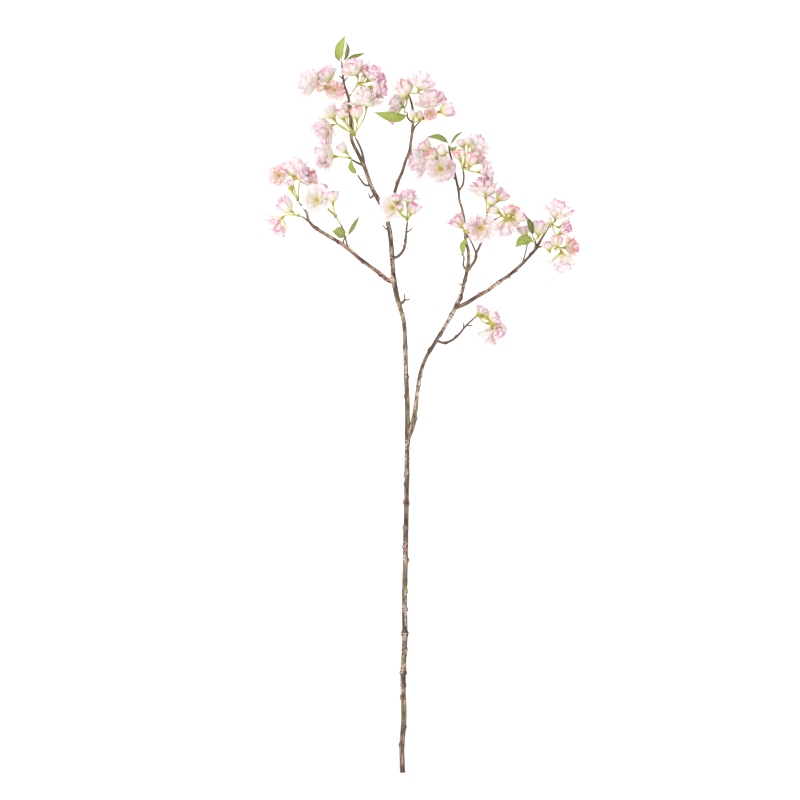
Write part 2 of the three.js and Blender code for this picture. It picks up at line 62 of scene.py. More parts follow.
# The lights' places from the middle of the view and their widths, in metres.
KEY_PLACE, KEY_SIZE = (-1.9, 0.9, 3.0), 1.5
FILL_PLACE, FILL_SIZE = (1.8, -1.0, 2.6), 2.4

# Mesh detail, in millimetres and faces.
BARK_STEP = 1.15
BARK_SIDES = 34
TWIG_STEP = 0.8
TWIG_SIDES = 18
SLIM_SIDES = 24
SPUR_STEP = 0.5
STALK_STEP = 1.1
STALK_SIDES = 8
PETAL_ROWS = 9
PETAL_COLUMNS = 6
LEAF_ROWS = 34
LEAF_COLUMNS = 12
CURVE_SAMPLES = 24
MIDLINE_STEPS = 40
SEPAL_ROWS = 5
SEPAL_COLUMNS = 4
PEDUNCLE_RINGS = 14

# Real sizes, in millimetres. A limb below SLIM_LIMB at its foot is modelled as a twig.
SLIM_LIMB = 3.0
PETAL_THICKNESS = 0.22
SEPAL_THICKNESS = 0.35
LEAF_THICKNESS = 0.3
PEDICEL_RADIUS = 1.15
PEDUNCLE_RADIUS = 1.15
CALYX_LENGTH = 6.5
CALYX_RADIUS = 2.6
RING_GAP = 2.3
SCAR_GAP = 1.7
SEPAL_LENGTH = 6.2
SEPAL_HALF_WIDTH = 1.55
SCALE_HALF_WIDTH = 1.5
FILAMENT_RADIUS = 0.17
FILAMENT_LENGTH = 7.5
ANTHER_RADII = [0.15, 0.38, 0.44, 0.38, 0.15]
LOWEST = 0.35
RESTING_SOFTNESS = 3.0

# Leaves: how much of the length is stalk, how steeply the blade folds, and how far the teeth stand
# out, as a share of the width.
LEAF_STALK_SHARE = 0.16
LEAF_FOLD = 0.28
LEAF_TOOTH = 0.07

# The CAD layout: woody shoots with their spurs, umbels, and leaves.
SHOOTS = {
  "main_stem": {
    "points": [
      [0, 0, 4.2, 4.2], [-1, 36, 4.8, 4.1], [2, 81, 5.6, 4.2], [1, 126, 6.6, 4],
      [1.5, 164, 7, 4.2], [3.5, 201, 8, 4], [3, 261, 9.5, 4], [4, 306, 10, 4.1],
      [4.5, 336, 10.5, 3.9], [6, 411, 12, 3.9], [7, 486, 13.5, 3.7], [7.5, 504, 14, 4.3],
      [7, 561, 15.5, 3.6], [5, 606, 16, 3.5], [4, 651, 17, 3.3], [1.5, 681, 17.5, 3.4],
      [-7, 711, 18.5, 4], [-13, 741, 19, 3.9], [-15.5, 771, 19.5, 3.6], [-17.5, 801, 20, 3.5],
      [-22, 828, 21, 3.6], [-32, 853, 22, 3.3], [-47, 882, 23.5, 3.3], [-58, 913, 25, 3.2],
      [-68, 933, 26, 2.9], [-76, 951, 26.5, 2.6], [-77, 969, 27, 2.4], [-79, 996, 28, 2.2],
      [-81, 1014, 28.5, 2.1], [-87, 1032, 29, 2], [-89.5, 1050, 29.5, 1.7], [-91, 1066, 30, 1.3],
    ],
    "spurs": [
      [[-4, 704, 19, 2.4], [4, 711, 21, 1.6], [11, 712, 21.5, 1.1]],
      [[1, 706, 20, 1.7], [3, 713, 22, 1.2], [2.5, 721, 23.5, 0.9]],
      [[-20, 815, 21, 2], [-26, 819, 22, 1.2], [-30, 824, 23, 0.9]],
      [[-44, 868, 23, 1.8], [-48, 864, 24, 1.3], [-51, 871, 26, 1]],
      [[-58, 912, 25, 2], [-68, 917, 26, 1.8], [-75, 921, 27, 1.4]],
      [[-48, 884, 23.5, 2], [-55, 883, 24.5, 1.7], [-63, 892, 26, 1.4], [-67, 898, 27, 1.3]],
      [[-57, 912, 25, 2.2], [-60, 930, 29, 1.9], [-64, 941, 32, 1.6], [-70, 953, 33, 1.4]],
      [[-89, 1042, 29, 1.2], [-95, 1047, 30.5, 0.8]],
      [[-87, 1036, 29, 1.3], [-93, 1031, 30.5, 0.8]],
      [[-88, 1038, 29, 1.3], [-82, 1045, 31, 0.8]],
    ],
  },
  "right_limb": {
    "points": [
      [7.5, 500, 14, 3.6], [13, 516, 14, 3.9], [16.5, 528, 14.5, 4.1], [19, 543, 15, 3.6],
      [22, 569, 15.5, 3.2], [26, 597, 16, 2.9], [34.5, 623, 16.5, 2.9], [44, 639, 17, 3.1],
      [56, 659, 18, 3], [71, 684, 18.5, 3], [82, 705, 19, 3.5], [89, 723, 19.5, 3.1],
      [92, 735, 20, 2.8], [97, 756, 20.5, 2.8], [99.5, 780, 21.5, 2.5], [95, 801, 22, 2.2],
      [91.5, 839, 23.5, 2], [85.5, 861, 24.5, 2], [84, 876, 25, 2], [80, 894, 26, 1.8],
      [75, 918, 27, 1.7], [70.5, 935, 27.5, 1.6], [70, 942, 28, 1.5],
    ],
    "spurs": [
      [[96, 756, 20.5, 2], [91.5, 763, 20.5, 1.6], [92, 776, 21.5, 1.2], [88, 781, 23.5, 0.9]],
      [[84, 874, 25, 1.6], [90, 883, 27, 1.5], [92, 894, 29, 1.4], [91, 904, 30, 1.3]],
      [[80, 892, 26, 1.5], [76, 895, 27, 1.1], [72, 899, 28, 0.8]],
      [[92, 729, 19.5, 1.8], [87, 735, 20.5, 1], [83, 735, 21, 0.8]],
    ],
  },
  "left_branch": {
    "points": [
      [-13, 738, 19, 3.3], [-22, 741, 19, 3.4], [-34, 751, 18, 3.1], [-49, 762, 17.5, 3],
      [-64, 773, 17, 2.9], [-79, 786, 17.5, 2.9], [-94, 797, 17, 2.8], [-109, 806, 17, 2.6],
      [-124, 815, 17, 2.5], [-134, 822, 17.5, 2.4], [-141, 831, 18, 2.1], [-144, 842, 19, 1.9],
      [-149, 850, 20, 1.8], [-154, 856, 21, 1.6],
    ],
    "spurs": [
      [[-141, 829, 18, 1.4], [-146, 833, 20, 1.3], [-150, 836, 22, 1.2]],
      [[-109, 806, 17, 1.4], [-113, 811, 18, 0.9]],
      [[-84, 789, 17, 1.5], [-89, 799, 18, 1.2], [-86, 805, 19, 1]],
      [[-80, 786, 17.5, 1.6], [-84, 797, 20, 1.4], [-88, 812, 24, 1.2], [-92, 824, 27, 1.2]],
    ],
  },
  "upper_right_branch": {
    "points": [
      [-22, 826, 21, 2.6], [-17, 848, 22, 2.6], [-12, 872, 23, 2.6], [-7, 888, 23.5, 2.5],
      [-1, 902, 24, 2.4], [5, 921, 25, 2.2], [10, 932, 25.5, 2.5], [13, 951, 26, 2.1],
      [15, 969, 27, 2.2], [16, 987, 27.5, 1.9], [14, 1004, 28.5, 1.7], [9, 1020, 30, 1.3],
    ],
    "spurs": [
      [[16, 976, 27, 1.6], [8, 984, 28, 1.4], [7, 992, 29, 1]],
      [[14, 962, 26.5, 1.5], [20, 972, 28, 1.3], [27, 979, 30, 1.2]],
    ],
  },
  "middle_shoot": {
    "points": [
      [-15, 774, 19.5, 2.2], [-8, 776, 20, 2.2], [-2, 781, 20.5, 2.1], [3, 790, 21, 2],
      [5, 804, 23, 1.8], [6, 817, 25, 1.7], [7.5, 828, 27, 1.5],
    ],
    "spurs": [
      [[3, 788, 21, 1.3], [0, 794, 22, 0.8]],
      [[5, 812, 24, 1.3], [12, 816, 25, 1], [15, 820, 26, 0.8]],
    ],
  },
  "lower_right_shoot": {
    "points": [
      [52, 650, 17.5, 2.1], [61, 647, 17.5, 2.1], [68, 648, 17.5, 2], [76, 652, 18, 2],
      [86, 661, 19, 1.8], [93, 670, 19.5, 1.7], [101, 678, 20.5, 1.5], [110, 686, 22.5, 1.3],
    ],
    "spurs": [
      [[92, 668, 19.5, 1.3], [91, 678, 20.5, 0.9]],
      [[97, 673, 20, 1.2], [105, 673, 20.5, 0.8]],
    ],
  },
  "right_side_branch": {
    "points": [
      [79.5, 699, 19, 3.1], [95, 706, 19, 3.1], [113, 717, 18.5, 3.1], [130, 727, 19, 2.9],
      [146, 739, 19, 2.8], [161, 749, 19.5, 2.6], [176, 762, 20, 2.5], [191, 777, 20.5, 2.4],
      [200, 788, 20.5, 2.4], [207, 800, 21, 1.9], [214, 812, 22, 1.7], [220, 822, 23, 1.4],
    ],
    "spurs": [
      [[180, 767, 19.5, 1.4], [184, 780, 21.5, 1.2], [187, 793, 22, 1.1]],
      [[198, 785, 21, 1.6], [200, 797, 22.5, 1.4], [196, 805, 24, 0.9]],
      [[200, 789, 20.5, 1.5], [211, 792, 22, 1.3], [221, 795, 24, 1.2]],
      [[159, 748, 19.5, 1.8], [162, 743, 19, 1]],
    ],
  },
  "front_shoot": {
    "points": [
      [97, 754, 21, 2.2], [103, 762, 24, 2.2], [109, 771, 26.5, 2.1], [111, 782, 28.5, 1.9],
      [115, 790, 28, 1.8], [121, 806, 27, 1.7], [125, 822, 27, 1.7], [126, 838, 28, 1.5],
    ],
    "spurs": [
      [[111, 779, 28, 1.5], [105, 794, 30, 1.3], [98, 807, 32, 1.2], [90, 820, 33, 1.2]],
      [[125, 822, 27, 1.4], [135, 829, 27, 1.3], [142, 834, 27, 1.2]],
    ],
  },
}

# An umbel's stem starts at its root and its stalks part at its hub. Each blossom has the name of its
# CAD corolla, if it has its own, then how open it is, its width, its place, the way it faces, and
# how pink it is. Some also have what isn't usual in them: how wide their petals are (strap), how far
# they lean out (spread), whether they are peach rather than rose, and how many stamens show.
OPEN, HALF, BUD = "open", "half", "bud"
UMBELS = {
  "top_left": {
    "root": [-87, 1031, 29], "hub": [-92, 1032, 33],
    "blossoms": [
      ["outer", OPEN, 50, -128, 1032, 37, -10, 3, 2, 0.2],
      ["", OPEN, 40, -107, 1038, 38.5, -6, 8, 1, 0.4, {"spread": 0.8}],
      ["", HALF, 15, -116, 1028, 57, -8, 0, 4, 0.42, {"peach": True}],
      ["front", OPEN, 32, -101, 1024, 50, -1, -1, 10, 0.5, {"peach": True}],
    ],
  },
  "top_right": {
    "root": [-81, 1014, 29], "hub": [-67, 1034, 35],
    "blossoms": [
      ["upper", OPEN, 42, -68, 1047, 44, -4, 9, 2, 0.35], ["", HALF, 18, -56, 1048, 30, 0, 10, 0, 0.5],
      ["", OPEN, 40, -51, 1040, 50, 6, 8, 2, 0.6], ["", HALF, 20, -41, 1041, 28, 10, 3, 0, 0.6],
      ["", OPEN, 36, -45, 1028, 53, 9, -1, 2, 0.5], ["", BUD, 8, -61, 1035, 58, 2, 9, 3, 0.9],
    ],
  },
  "upper_middle": {
    "root": [-70, 952, 33], "hub": [-72, 958, 35],
    "blossoms": [
      ["fan", OPEN, 48, -54, 1000, 50, 0, 10, 1, 0.2, {"strap": 0.9, "spread": 1.2}],
      ["", HALF, 22, -68, 980, 60, -1, 10, 1, 0.75, {"peach": True}],
      ["", HALF, 20, -80, 994, 20, -5, 9, 0, 0.3], ["", HALF, 19, -88, 981, 48.5, -4, 9, 2, 0.45],
      ["", HALF, 26, -103, 983, 24, -5, 9, 1, 0.2], ["outer", OPEN, 46, -107, 971, 44, -8, -5, 3, 0.25],
      ["", BUD, 6, -83, 983, 54, 0, 9, 2, 0.9],
    ],
  },
  "left_spur": {
    "root": [-75, 921, 27], "hub": [-79, 924, 30],
    "blossoms": [
      ["", HALF, 18, -85, 932, 48.5, -8, 8, 2, 0.4], ["open", OPEN, 46, -103, 926, 30, -9, 0, 2, 0.35],
    ],
  },
  "upper_right_tip": {
    "root": [9, 1019, 30], "hub": [9, 1022, 32],
    "blossoms": [
      ["", HALF, 29, 8, 1017, 50, -3, 9, 2, 0.4, {"peach": True}],
      ["left", OPEN, 36, -1, 1000, 40, -8, 5, 3, 0.3],
      ["fan", OPEN, 44, 25, 1024, 54, 4, 9, 1, 0.35, {"strap": 0.8}],
      ["", HALF, 15, -11, 988, 7.5, -6, -6, 0, 0.5], ["", BUD, 12, 4, 1012, 60, -3, 8, 2, 0.2],
    ],
  },
  "upper_right_side": {
    "root": [27, 979, 30], "hub": [31, 983, 33],
    "blossoms": [
      ["", OPEN, 46, 42, 998, 42, -1, 9, 1, 0.35, {"spread": 1.1}],
      ["", HALF, 17, 52, 1010, 28, 8, 6, 0, 0.55], ["", HALF, 26, 56, 992, 46, 9, 2, 1, 0.5],
      ["", OPEN, 21, 41, 988, 56, 1, -1, 10, 0.8, {"peach": True}],
      ["", BUD, 10, 16, 981, 52, -1, 10, 1, 0.3], ["", BUD, 11, 25, 980, 44, 0, 10, 0, 0.3],
    ],
  },
  "left_tip": {
    "root": [-154, 855, 21], "hub": [-157, 861, 25],
    "blossoms": [
      ["", OPEN, 33, -185, 896, 46, -2, 2, 9, 0.4, {"peach": True}],
      ["fan", OPEN, 45, -163, 896, 44, 1, 9, -1, 0.35, {"spread": 1.2}],
      ["", HALF, 22, -145, 893, 34, 9, 2, 1, 0.75, {"peach": True}],
      ["", HALF, 15, -166, 878, 57, -3, 9, 2, 0.4], ["", OPEN, 38, -158, 893, 46, 8, 5, 2, 0.4],
    ],
  },
  "left_lower": {
    "root": [-149, 835, 22], "hub": [-156, 838, 26],
    "blossoms": [
      ["", HALF, 31, -166, 843, 48.5, -8, 7, 2, 0.35],
      ["drooping", OPEN, 44, -181, 834, 23, -6, -7, 0, 0.4, {"strap": 0.8}],
    ],
  },
  "left_inner": {
    "root": [-92, 823, 27], "hub": [-100, 836, 32],
    "blossoms": [
      ["front", OPEN, 45, -128, 860, 50, -1, 1, 10, 0.15, {"strap": 1.15, "anthers": 3}],
      ["", HALF, 17, -121, 872, 26, 2, 9, -1, 0.8], ["", HALF, 22, -104, 856, 54, -1, 10, 1, 0.4],
    ],
  },
  "middle": {
    "root": [7, 826, 27], "hub": [7, 832, 31],
    "blossoms": [
      ["", OPEN, 31, 8, 857, 46, 1, 9, 1, 0.5], ["", HALF, 24, 12, 839, 40, 4, 9, 1, 0.65],
      ["front", OPEN, 46, -14, 849, 40, -4, 0, 8, 0.15, {"anthers": 6}],
      ["", HALF, 14, -9, 856, 54, 0, 9, 1, 0.6], ["", HALF, 11, -4, 844, 58, -1, 9, 2, 0.5],
    ],
  },
  "lower_right": {
    "root": [109, 685, 20], "hub": [112, 688, 23],
    "blossoms": [
      ["", HALF, 17, 113, 689, 40, 4, 9, 1, 0.5], ["", HALF, 14, 120, 688, 28, 8, 5, 1, 0.4],
      ["", HALF, 20, 128, 684, 45.5, 9, 3, 2, 0.5], ["", HALF, 22, 130, 676, 10.5, 10, 0, 0, 0.85],
      ["drooping", OPEN, 42, 134, 670, 32, -2, -9, 2, 0.25, {"strap": 0.75}],
      ["", OPEN, 29, 140, 671, 42, 6, -7, 2, 0.35],
    ],
  },
  "right_inner": {
    "root": [91, 819, 33], "hub": [93, 814, 36],
    "blossoms": [
      ["", HALF, 25, 88, 820, 35.5, -6, 8, 1, 0.6], ["", HALF, 15, 98, 813, 52, -1, 10, 1, 0.6],
    ],
  },
  "right_front": {
    "root": [124, 820, 27], "hub": [122, 817, 32],
    "blossoms": [
      ["open", OPEN, 48, 116, 818, 50, 2, -1, 9, 0.3, {"strap": 0.85}],
    ],
  },
  "right_upper": {
    "root": [126, 836, 28], "hub": [127, 842, 32],
    "blossoms": [
      ["fan", OPEN, 46, 124, 865, 46, -1, 9, 2, 0.35, {"strap": 0.95}],
      ["", HALF, 17, 131, 851, 57, 2, 9, 1, 0.3], ["", HALF, 22, 143, 860, 36, 7, 8, 0, 0.6],
    ],
  },
  "right_cluster": {
    "root": [141, 833, 27], "hub": [148, 837, 32],
    "blossoms": [
      ["", HALF, 20, 144, 841, 50, -8, 5, 2, 0.35], ["", HALF, 16, 155, 837, 59, 0, 10, 1, 0.35],
      ["", HALF, 20, 163, 837, 33, 3, 9, 0, 0.65, {"peach": True}],
      ["", HALF, 21, 167, 832, 49, 9, 3, 1, 0.45], ["drooping", OPEN, 41, 154, 832, 33, 1, -9, -1, 0.28],
    ],
  },
  "right_crown": {
    "root": [91, 903, 30], "hub": [91, 908, 33],
    "blossoms": [
      ["", HALF, 16, 91, 939, 44, -4, 9, 1, 0.45], ["", BUD, 10, 98, 940, 54, 0, 10, 1, 0.5],
      ["", OPEN, 42, 105, 934, 32, 6, 8, 2, 0.3],
      ["", HALF, 19, 86, 920, 56, -3, 9, 1, 0.7, {"peach": True}],
      ["", HALF, 25, 100, 910, 55, 3, 9, 1, 0.5, {"peach": True}],
      ["", HALF, 17, 112, 917, 36, 8, 6, 1, 0.75, {"peach": True}],
      ["", OPEN, 35, 116, 902, 44, 9, 1, 3, 0.35],
    ],
  },
  "right_crown_left": {
    "root": [71, 932, 28], "hub": [66, 931, 32],
    "blossoms": [
      ["", HALF, 22, 40, 934, 36, -6, 8, 1, 0.3], ["outer", OPEN, 46, 38, 918, 30, -9, -1, 2, 0.35],
      ["", HALF, 20, 50, 923, 55, -7, 6, 3, 0.65, {"peach": True}],
      ["", HALF, 20, 62, 926, 56, -4, 9, 2, 0.3],
      ["front", OPEN, 46, 58, 906, 50, -1, -1, 10, 0.25, {"strap": 1.2}],
      ["", OPEN, 18, 70, 909, 56, 5, -2, 8, 0.4],
    ],
  },
  "far_right_tip": {
    "root": [220, 821, 23], "hub": [223, 826, 26],
    "blossoms": [
      ["fan", OPEN, 48, 229, 832, 44, 3, 9, 2, 0.4, {"strap": 0.85, "spread": 0.9}],
      ["", HALF, 21, 236, 820, 30, 10, 1, 1, 0.85], ["", BUD, 9, 220, 823, 50, -1, 9, 2, 0.15],
      ["", HALF, 18, 236, 810, 52, 7, 5, 3, 0.6],
    ],
  },
  "far_right_lower": {
    "root": [220, 795, 24], "hub": [224, 795, 27],
    "blossoms": [
      ["", HALF, 17, 219, 785, 50, -2, 9, 2, 0.4],
      ["", HALF, 20, 230, 790, 57, 1, 9, 2, 0.5, {"peach": True}],
      ["drooping", OPEN, 46, 238, 782, 34, 1, -9, 0, 0.25, {"spread": 0.8}],
      ["", OPEN, 33, 245, 790, 15.5, 10, 1, 1, 0.85, {"peach": True}],
    ],
  },
  "far_right_inner": {
    "root": [187, 792, 22], "hub": [189, 797, 24],
    "blossoms": [
      ["", HALF, 28, 204, 808, 26, 1, 9, 0, 0.5], ["", HALF, 20, 185, 807, 18, -3, 9, 0, 0.55],
    ],
  },
}

# Each leaf's half-width, points, the way its upper side looks, and tone from light to dark.
TOP_BUD = [-91, 1065, 30]
LEFT_STUB = [-86, 804, 19]
LEAVES = {
  "top_large": (6.8, [TOP_BUD, [-92, 1073, 33], [-94, 1086, 36], [-86, 1107, 36]], [-2, 0, 9], 0.05),
  "top_dark": (4.6, [TOP_BUD, [-87, 1072, 29.5], [-83, 1085, 28], [-84, 1100, 25]], [7, 0, 6], 0.85),
  "top_left": (3.8, [TOP_BUD, [-94, 1070, 29], [-98, 1077, 28], [-103, 1086, 24]], [-6, -3, 6], 0.7),
  "top_right": (3.6, [TOP_BUD, [-85, 1067, 33], [-76, 1074, 38], [-54, 1081, 40]], [2, -5, 8], 0.6),
  "left_spur": (4.8, [[-67, 897, 27], [-70, 901, 30], [-76, 909, 34], [-77, 922, 35]], [-4, 0, 9], 0.3),
  "upper_right": (7.6, [[7, 991, 29], [5, 987, 38], [-10, 983, 48], [-43, 991, 46]], [-1, 2, 9], 0.2),
  "left_broad": (8, [LEFT_STUB, [-88, 806, 23], [-94, 812, 27], [-106, 815, 25]], [0, 3, 9], 0.45),
  "left_narrow": (3.6, [LEFT_STUB, [-82, 808, 22], [-74, 822, 26], [-64, 838, 28]], [4, -2, 9], 0.6),
  "right_crown": (4.8, [[70, 941, 28], [67, 947, 33], [54, 954, 40], [35, 955, 40]], [1, 3, 9], 0.55),
  "right_inner": (5.2, [[92, 775, 21.5], [91, 783, 26], [91, 792, 31], [97, 804, 39]], [-5, 0, 8], 0.25),
  "far_right_broad": (
    8, [[199, 796, 22.5], [192, 800, 28], [181, 801, 32], [169, 790, 30]], [0, -3, 9],
    0.3,
  ),
  "far_right_dark": (
    6.5, [[196, 804, 24], [195, 810, 30], [190, 823, 41], [184, 839, 40]], [6, 2, 7],
    0.9,
  ),
}

# Knobs that stand proud of the bark where a bud or a spur has dropped, as [x, y, height].
KNOBS = {
    "main_stem": [
        [-4, 42, 1.6], [-2, 114, 1.5], [-2, 150, 1.4], [-3, 210, 2.0], [6, 210, 1.7], [0, 340, 1.6],
        [1, 369, 1.3], [2, 408, 1.5], [2, 435, 1.4], [3, 448, 1.2], [4, 69, 1.4], [6, 132, 1.4],
        [7, 150, 1.5], [7, 186, 1.5], [8, 246, 1.5], [8, 273, 1.6], [12, 321, 2.4], [12, 404, 1.4],
        [-17, 742, 2.2], [-11, 775, 1.2], [-72, 1003, 2.2], [-83, 987, 1.0], [3, 566, 1.2],
        [10, 596, 1.1], [0, 640, 1.2],
    ],
    "right_limb": [
        [41, 637, 1.7], [70, 690, 1.5], [92, 712, 1.8], [28, 597, 1.4], [25, 584, 1.3], [94, 741, 1.2],
        [20, 534, 1.2], [97, 806, 1.0], [60, 657, 1.0],
    ],
    "left_branch": [[-128, 820, 1.2], [-60, 768, 1.1], [-34, 748, 1.1], [-97, 797, 1.0]],
    "upper_right_branch": [[-10, 888, 1.1], [13, 932, 1.4], [-19, 850, 1.0], [17, 966, 1.1]],
    "middle_shoot": [[4, 800, 0.8]],
    "lower_right_shoot": [[80, 657, 1.2], [66, 644, 1.0]],
    "right_side_branch": [[116, 721, 1.5], [170, 755, 1.3], [146, 736, 1.1], [192, 781, 1.2]],
    "front_shoot": [[113, 776, 0.9], [123, 812, 0.8]],
}

# Stretches of the bark that are tinted with green algae, as [x, y, reach].
GREEN_BARK = [
    [4, 280, 20], [1, 167, 10], [2, 92, 20], [-5, 690, 32], [14, 540, 26], [12, 585, 18],
    [100, 765, 14], [-22, 828, 12], [90, 840, 16], [-80, 1010, 20],
]

# How pale and how reddish the bark is, where it isn't as usual.
PALENESS = {"main_stem": -0.03, "left_branch": 0.05, "right_limb": 0.04, "right_side_branch": 0.02}
REDNESS = {"left_branch": 0.4, "right_side_branch": 0.15, "lower_right_shoot": 0.3}


def srgb(red, green, blue):
    """A colour given from 0 to 255 as it looks, as the linear colour that nodes take."""
    shares = np.array([red, green, blue]) / 255
    linear = np.where(shares <= 0.04045, shares / 12.92, ((shares + 0.055) / 1.055) ** 2.4)
    return (*linear.tolist(), 1.0)


def seeded(*words):
    """Random draws that are the same in each run for the same words."""
    return np.random.default_rng(zlib.crc32(" ".join(map(str, words)).encode()))


def unit(vectors):
    return vectors / np.maximum(np.linalg.norm(vectors, axis=-1, keepdims=True), 1e-9)


def smooth(share):
    share = np.clip(share, 0, 1)
    return share * share * (3 - 2 * share)


def cut_end():
    """The middle of the main stem's cut end, in the frame's metres."""
    corners = np.array([v.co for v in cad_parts["main_stem"].data.vertices])
    end = corners[corners[:, 1] < corners[:, 1].min() + 0.002]
    return np.unique(np.round(end, 6), axis=0).mean(axis=0)


LAYOUT_START = np.array(SHOOTS["main_stem"]["points"][0][:3])
SHIFT = cut_end() * 1000 - LAYOUT_START


def placed(places):
    """Layout millimetres as the frame's metres."""
    return (np.asarray(places, float) + SHIFT) / 1000


LATTICE = np.random.default_rng(11).uniform(-1, 1, (32, 32, 32))


def noise(places):
    """Smooth noise from -1 to 1, with one lump to each unit."""
    cell = np.floor(places).astype(int)
    share = smooth(places - cell)
    total = np.zeros(places.shape[:-1])
    for corner in np.ndindex(2, 2, 2):
        weight = np.prod(np.where(corner, share, 1 - share), axis=-1)
        x, y, z = np.moveaxis((cell + corner) % 32, -1, 0)
        total += weight * LATTICE[x, y, z]
    return total


def stacked(*layers):
    """Values of each corner side by side, where a single number goes to every corner."""
    return np.stack(np.broadcast_arrays(*layers), -1)


class Growth:
    """The faces of one piece, with what its materials read at each corner.

    tint and grain are read by the materials. In petals and leaves, tint holds how far a corner is
    towards the tip, how near the margin, whether it is on the back, and how pink or dark it is.
    """

    def __init__(self):
        self.places, self.faces, self.tints, self.grains = [], [], [], []
        self.backs, self.finishes = [], []
        self.count = 0

    def add(self, places, faces, tint, grain, backs=0.0, finish=0):
        """Adds faces of 4 corners, or of 3 and -1, whose corners are counted from 0 in places."""
        total = len(places)
        self.places.append(places)
        self.faces.append(np.where(faces < 0, -1, faces + self.count))
        self.tints.append(np.broadcast_to(tint, (total, 4)))
        self.grains.append(np.broadcast_to(grain, (total, 3)))
        self.backs.append(np.broadcast_to(np.asarray(backs, float), (len(faces),)))
        self.finishes.append(np.full(len(faces), finish))
        self.count += total

    def piece(self, name, materials, slot, nodes):
        """Makes the piece, which rides on the sprig and stands for the CAD nodes."""
        places = placed(np.concatenate(self.places))
        places[:, 2] = resting(places[:, 2])
        faces = np.concatenate(self.faces)
        sizes = np.where(faces[:, 3] < 0, 3, 4)
        corners = faces[faces >= 0]
        mesh = bpy.data.meshes.new(name)
        mesh.vertices.add(len(places))
        mesh.vertices.foreach_set("co", places.astype(np.float32).ravel())
        mesh.loops.add(len(corners))
        mesh.loops.foreach_set("vertex_index", corners.astype(np.int32))
        mesh.polygons.add(len(faces))
        starts = np.concatenate([[0], np.cumsum(sizes)[:-1]])
        finishes = np.concatenate(self.finishes)
        mesh.polygons.foreach_set("loop_start", starts.astype(np.int32))
        mesh.polygons.foreach_set("material_index", finishes.astype(np.int32))
        mesh.polygons.foreach_set("use_smooth", np.ones(len(faces), bool))
        mesh.update(calc_edges=True)

        back = np.repeat(np.concatenate(self.backs), sizes)
        tints = np.concatenate(self.tints)[corners].copy()
        tints[:, 2] = np.maximum(tints[:, 2], back)
        grains = np.concatenate(self.grains)[corners]
        layer = mesh.attributes.new("tint", "FLOAT_COLOR", "CORNER")
        layer.data.foreach_set("color", tints.astype(np.float32).ravel())
        layer = mesh.attributes.new("grain", "FLOAT_VECTOR", "CORNER")
        layer.data.foreach_set("vector", grains.astype(np.float32).ravel())

        edges = np.zeros(len(corners), np.int32)
        mesh.loops.foreach_get("edge_index", edges)
        shared = np.bincount(edges, minlength=len(mesh.edges))
        behind = np.bincount(edges, weights=back, minlength=len(mesh.edges))
        sharp = (behind > 0.5) & (behind < shared - 0.5)
        layer = mesh.attributes.new("sharp_edge", "BOOLEAN", "EDGE")
        layer.data.foreach_set("value", sharp)

        for material in materials:
            mesh.materials.append(material)
        made = bpy.data.objects.new(name, mesh)
        bpy.context.scene.collection.objects.link(made)
        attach(made, "root")
        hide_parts(*nodes)


def resting(heights):
    """Heights in metres, with what would sink into the floor spread gently on it."""
    softness = RESTING_SOFTNESS / 1000
    over = (heights - LOWEST / 1000) / softness
    return LOWEST / 1000 + softness * np.where(over < 1, np.exp(np.minimum(over, 1) - 1), over)


# Curves.


def curve_through(points):
    """A centripetal Catmull-Rom curve through the points, with each sample's share of the points."""
    points = np.asarray(points, float)
    ends = [2 * points[0] - points[1], *points, 2 * points[-1] - points[-2]]
    places, shares = [], []
    for i in range(len(points) - 1):
        before, start, end, after = ends[i : i + 4]
        gaps = [max(np.linalg.norm(b - a) ** 0.5, 1e-4) for a, b in zip(ends[i:], ends[i + 1 :])][:3]
        first = (start - before) / gaps[0] - (end - before) / (gaps[0] + gaps[1])
        first = (first + (end - start) / gaps[1]) * gaps[1]
        last = (end - start) / gaps[1] - (after - start) / (gaps[1] + gaps[2])
        last = (last + (after - end) / gaps[2]) * gaps[1]
        t = np.linspace(0, 1, CURVE_SAMPLES, endpoint=False)[:, None]
        cubic = 2 * start - 2 * end + first + last
        square = 3 * end - 3 * start - 2 * first - last
        places.append(start + first * t + square * t**2 + cubic * t**3)
        shares.append(i + t[:, 0])
    return np.vstack([*places, points[-1]]), np.append(np.concatenate(shares), len(points) - 1)


def evenly(places, step, *values):
    """The curve at even steps, with the values that go with it and the distance along it."""
    lengths = np.linalg.norm(np.diff(places, axis=0), axis=1)
    along = np.concatenate([[0], np.cumsum(lengths)])
    count = max(4, round(along[-1] / step))
    wanted = np.linspace(0, along[-1], count + 1)
    even = np.stack([np.interp(wanted, along, axis) for axis in places.T], axis=1)
    return even, wanted, *[np.interp(wanted, along, value) for value in values]


def frames_along(places):
    """Directions along a curve, and two across it that turn as little as they can."""
    along = unit(np.gradient(places, axis=0))
    side = np.zeros_like(along)
    current = np.array([0.0, 0, 1])
    if abs(along[0] @ current) > 0.95:
        current = np.array([1.0, 0, 0])
    for i, direction in enumerate(along):
        current = unit(current - direction * (current @ direction))
        side[i] = current
    return along, side, np.cross(along, side)


def tube_faces(rings, sides):
    """Faces of a tube of rings, whose two end caps meet at two corners that follow the rings."""
    i, j = np.meshgrid(np.arange(rings - 1), np.arange(sides), indexing="ij")
    after = (j + 1) % sides
    walls = [i * sides + j, i * sides + after, (i + 1) * sides + after, (i + 1) * sides + j]
    j, after = j[0], after[0]
    top = (rings - 1) * sides
    start = stacked(rings * sides, after, j, -1)
    end = stacked(rings * sides + 1, top + j, top + after, -1)
    return np.vstack([stacked(*walls).reshape(-1, 4), start, end])


